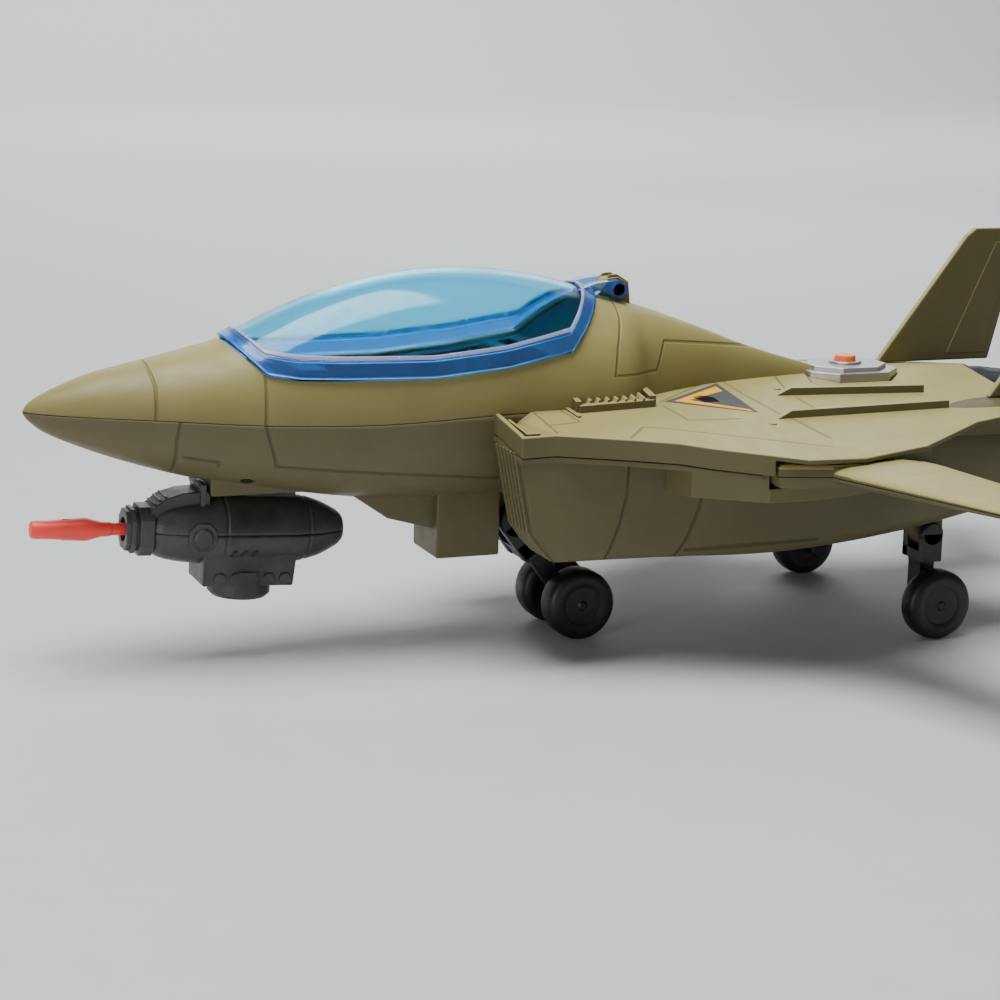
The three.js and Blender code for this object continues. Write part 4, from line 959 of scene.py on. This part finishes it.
def wing_half(side, upper):
    bm = wing_blade(side, upper)
    split = WING_SPLIT + (PARTING if upper else -PARTING)
    z0, z1 = (split, WING_TOP) if upper else (WING_FLOOR, split)
    outer_face, inward = (z1, -1) if upper else (z0, 1)
    shoulder = [(PIVOT_X - 11.2, PIVOT_Y + 1), (PIVOT_X - 10.9, 84), (246.4, 89), (279.6, 90),
                (PIVOT_X + 6, PIVOT_Y - 9.6), (PIVOT_X, PIVOT_Y - 11.3)]
    corners = [Vector((x, y * side)) for x, y in shoulder]
    middle = Vector((252, 80 * side))
    joined(bm, [[bm.verts.new((*(p + (middle - p).normalized() * inset), outer_face + inward * drop))
                 for p in corners] for drop, inset in SHOULDER_EDGE])
    lobe = [(0, z0), (LOBE - 0.6, z0), (LOBE, z0 + 0.6), (LOBE, z1 - 0.6), (LOBE - 0.6, z1), (0, z1)]
    return turned(lobe, at=(PIVOT_X, PIVOT_Y * side, 0), steps=72, bm=bm)


for label, side in SIDES.items():
    piece(f"wing_top_{label}", wing_half(side, True), olive_plain, f"wing_{label}",
          stands_for=[f"wing_upper_{label}"])
    piece(f"wing_bottom_{label}", wing_half(side, False), olive_under_shaded, f"wing_{label}",
          stands_for=[f"wing_lower_{label}"])

# ---- Tail -----------------------------------------------------------------------------------
PETALS = 18
for label, side in SIDES.items():
    y = 39 * side
    fin = side_plate([(336, -2.3), (373, 46), (377, 49), (399, 49), (386, -2.3)], y - 1.5, y + 1.5)
    side_plate([(366, 0), (384, 0), (394, 44), (386, 44)], y - 1.7, y + 1.7, fin)
    piece(f"fin_{label}", fin, olive_plain, bevel=0.8, segments=3, stands_for=[f"tail_fin_{label}"])
    blade = flat_plate([(352, 53.9 * side), (396, 53.9 * side), (412, 106 * side), (390, 106 * side)], -22, -19)
    rod(2, *sorted((side * 50.9, side * 56)), "y", (368, 0, -20.5), 24, blade)
    piece(f"stabilator_blade_{label}", blade, olive_plain, bevel=0.8, segments=3,
          stands_for=[f"stabilator_{label}"])
    nozzle = turned([(0, 372), (12.4, 373), (13, 381), (11.8, 398), (13.2, 398), (15.4, 381), (15.2, 375.4),
                     (13.2, 375.2), (13.2, 369), (0, 369)], "x", (0, NOZZLE_Y * side, NOZZLE_Z), 72)
    centre_line = Matrix.Translation((0, NOZZLE_Y * side, NOZZLE_Z))
    petal = (Matrix.Translation((389, 0, 14)) @ Matrix.Rotation(math.radians(7.4), 4, "Y")
             @ Matrix.Diagonal((15, 1.2, 0.9, 1)))
    for k in range(PETALS):
        bmesh.ops.create_cube(nozzle, size=1,
                              matrix=centre_line @ Matrix.Rotation(math.tau * k / PETALS, 4, "X") @ petal)
    piece(f"nozzle_ring_{label}", nozzle, dark, stands_for=[f"engine_nozzle_{label}"])

# ---- Sound module ---------------------------------------------------------------------------
def octagon(grow, h):
    """An oblong of half width h, grown at both ends, with its corners cut off."""
    a, b, c = MODULE - 18 - grow, MODULE + 18 + grow, 8
    return [(a, -h + c), (a + c, -h), (b - c, -h), (b, -h + c), (b, h - c), (b - c, h), (a + c, h), (a, h - c)]


base = flat_plate(octagon(0, 15), -4, 3.7)
flat_plate(octagon(-3, 12), 0, 5.2, base)
turned([(4.2, 0), (4.2, 6.2), (5.6, 6.2), (6, 5.8), (6, 0)], at=(MODULE, 0, 0), steps=56, bm=base)
piece("module_stack", base, silver, bevel=0.5, segments=3, stands_for=["sound_module"])
knob = turned([(0, -2.6), (5.5, -2.6), (5.5, -1.2), (3.9, -1.2), (3.9, 7.3), (3.5, 8), (2.6, 8.2), (0, 8.2)],
              at=(MODULE, 0, 0), steps=48)
piece("button_cap", knob, orange, "button", stands_for=["sound_button"])

# ---- Finishes on the pieces that keep their own solids ----------------------------------------
OWN_FINISH = {"canopy_hinge_pin": blue_deep, "circuit_board": board, "cockpit_tub": dark, "speaker": dark,
              "launcher_plunger": dark, "battery_door": olive_under_shaded}
METAL = ("screw", "pin", "axle", "spring", "battery_cell")
for name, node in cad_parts.items():
    finish = OWN_FINISH.get(name) or (steel if any(word in name for word in METAL) else None)
    if finish:
        node.data.materials.clear()
        node.data.materials.append(finish.material)

# ---- Floor, light and camera ----------------------------------------------------------------
def floor():
    """A pale sheet, in metres, that runs level under the toy and curves up far behind it."""
    bm = bmesh.new()
    far, height, half_width, bend = 3.2, 6, 14, 1
    turn = [math.radians(a) for a in range(0, 91, 6)]
    curve = [(far + bend * math.sin(a), bend * (1 - math.cos(a))) for a in turn]
    line = [(-half_width, 0), *curve, (far + bend, height)]
    verts = [bm.verts.new((-half_width, y, z)) for y, z in line]
    edges = [bm.edges.new(ends) for ends in zip(verts, verts[1:])]
    pulled = bmesh.ops.extrude_edge_only(bm, edges=edges)
    moved = [g for g in pulled["geom"] if isinstance(g, bmesh.types.BMVert)]
    bmesh.ops.translate(bm, vec=(2 * half_width, 0, 0), verts=moved)
    bmesh.ops.recalc_face_normals(bm, faces=bm.faces)
    if bm.faces[:][0].normal.z < 0:
        bmesh.ops.reverse_faces(bm, faces=bm.faces)
    mesh = bpy.data.meshes.new("floor")
    bm.to_mesh(mesh)
    bm.free()
    mesh.shade_smooth()
    pale = Finish("pale_floor", (0.6, 0.61, 0.62), 0.75, grain=0.05, speckle=0.005)
    mesh.materials.append(pale.material)
    obj = bpy.data.objects.new("floor", mesh)
    bpy.context.scene.collection.objects.link(obj)


def soft_light(name, place, target, size, watts):
    """A square lamp at a place, facing a target, in metres."""
    data = bpy.data.lights.new(name, "AREA")
    data.size = size
    data.energy = watts
    obj = bpy.data.objects.new(name, data)
    aim = (Vector(place) - Vector(target)).to_track_quat("Z", "Y").to_matrix().to_4x4()
    obj.matrix_world = Matrix.Translation(place) @ aim
    bpy.context.scene.collection.objects.link(obj)


def camera():
    """Looks at the port side from ahead of the wing and a little above it."""
    azimuth, elevation, roll = math.radians(22), math.radians(12.5), math.radians(1.5)
    level = math.cos(elevation)
    right = Vector((math.cos(azimuth), -math.sin(azimuth), 0))
    ahead = Vector((math.sin(azimuth) * level, math.cos(azimuth) * level, -math.sin(elevation)))
    up = right.cross(ahead)
    tilted = right * math.cos(roll) + up * math.sin(roll)
    turn = Matrix((tilted, up * math.cos(roll) - right * math.sin(roll), -ahead)).transposed()
    data = bpy.data.cameras.new("camera")
    data.sensor_width = 36
    data.lens = 86.4
    data.clip_start = 0.05
    data.clip_end = 100
    obj = bpy.data.objects.new("camera", data)
    obj.matrix_world = Matrix.Translation((-0.3464, -0.7576, 0.2294)) @ turn.to_4x4()
    bpy.context.scene.collection.objects.link(obj)
    bpy.context.scene.camera = obj


floor()
soft_light("overhead", (-0.22, -0.06, 1.3), (0, 0, 0.05), 0.8, 27)
soft_light("front", (-1.2, -0.7, 0.5), (-0.05, 0, 0.06), 0.7, 1.6)
soft_light("low", (-0.75, -0.5, 0.14), (-0.2, 0, 0.04), 0.16, 1.0)
soft_light("behind", (0.6, 1.1, 0.9), (0, 0, 0.05), 1.2, 6)
soft_light("backdrop", (0.6, 1.9, 2.6), (1.2, 4.2, 0.9), 1.8, 170)
camera()
world = bpy.data.worlds.new("studio")
world.use_nodes = True
world.node_tree.nodes["Background"].inputs["Color"].default_value = (0.93, 0.96, 1, 1)
world.node_tree.nodes["Background"].inputs["Strength"].default_value = 0.1
bpy.context.scene.world = world
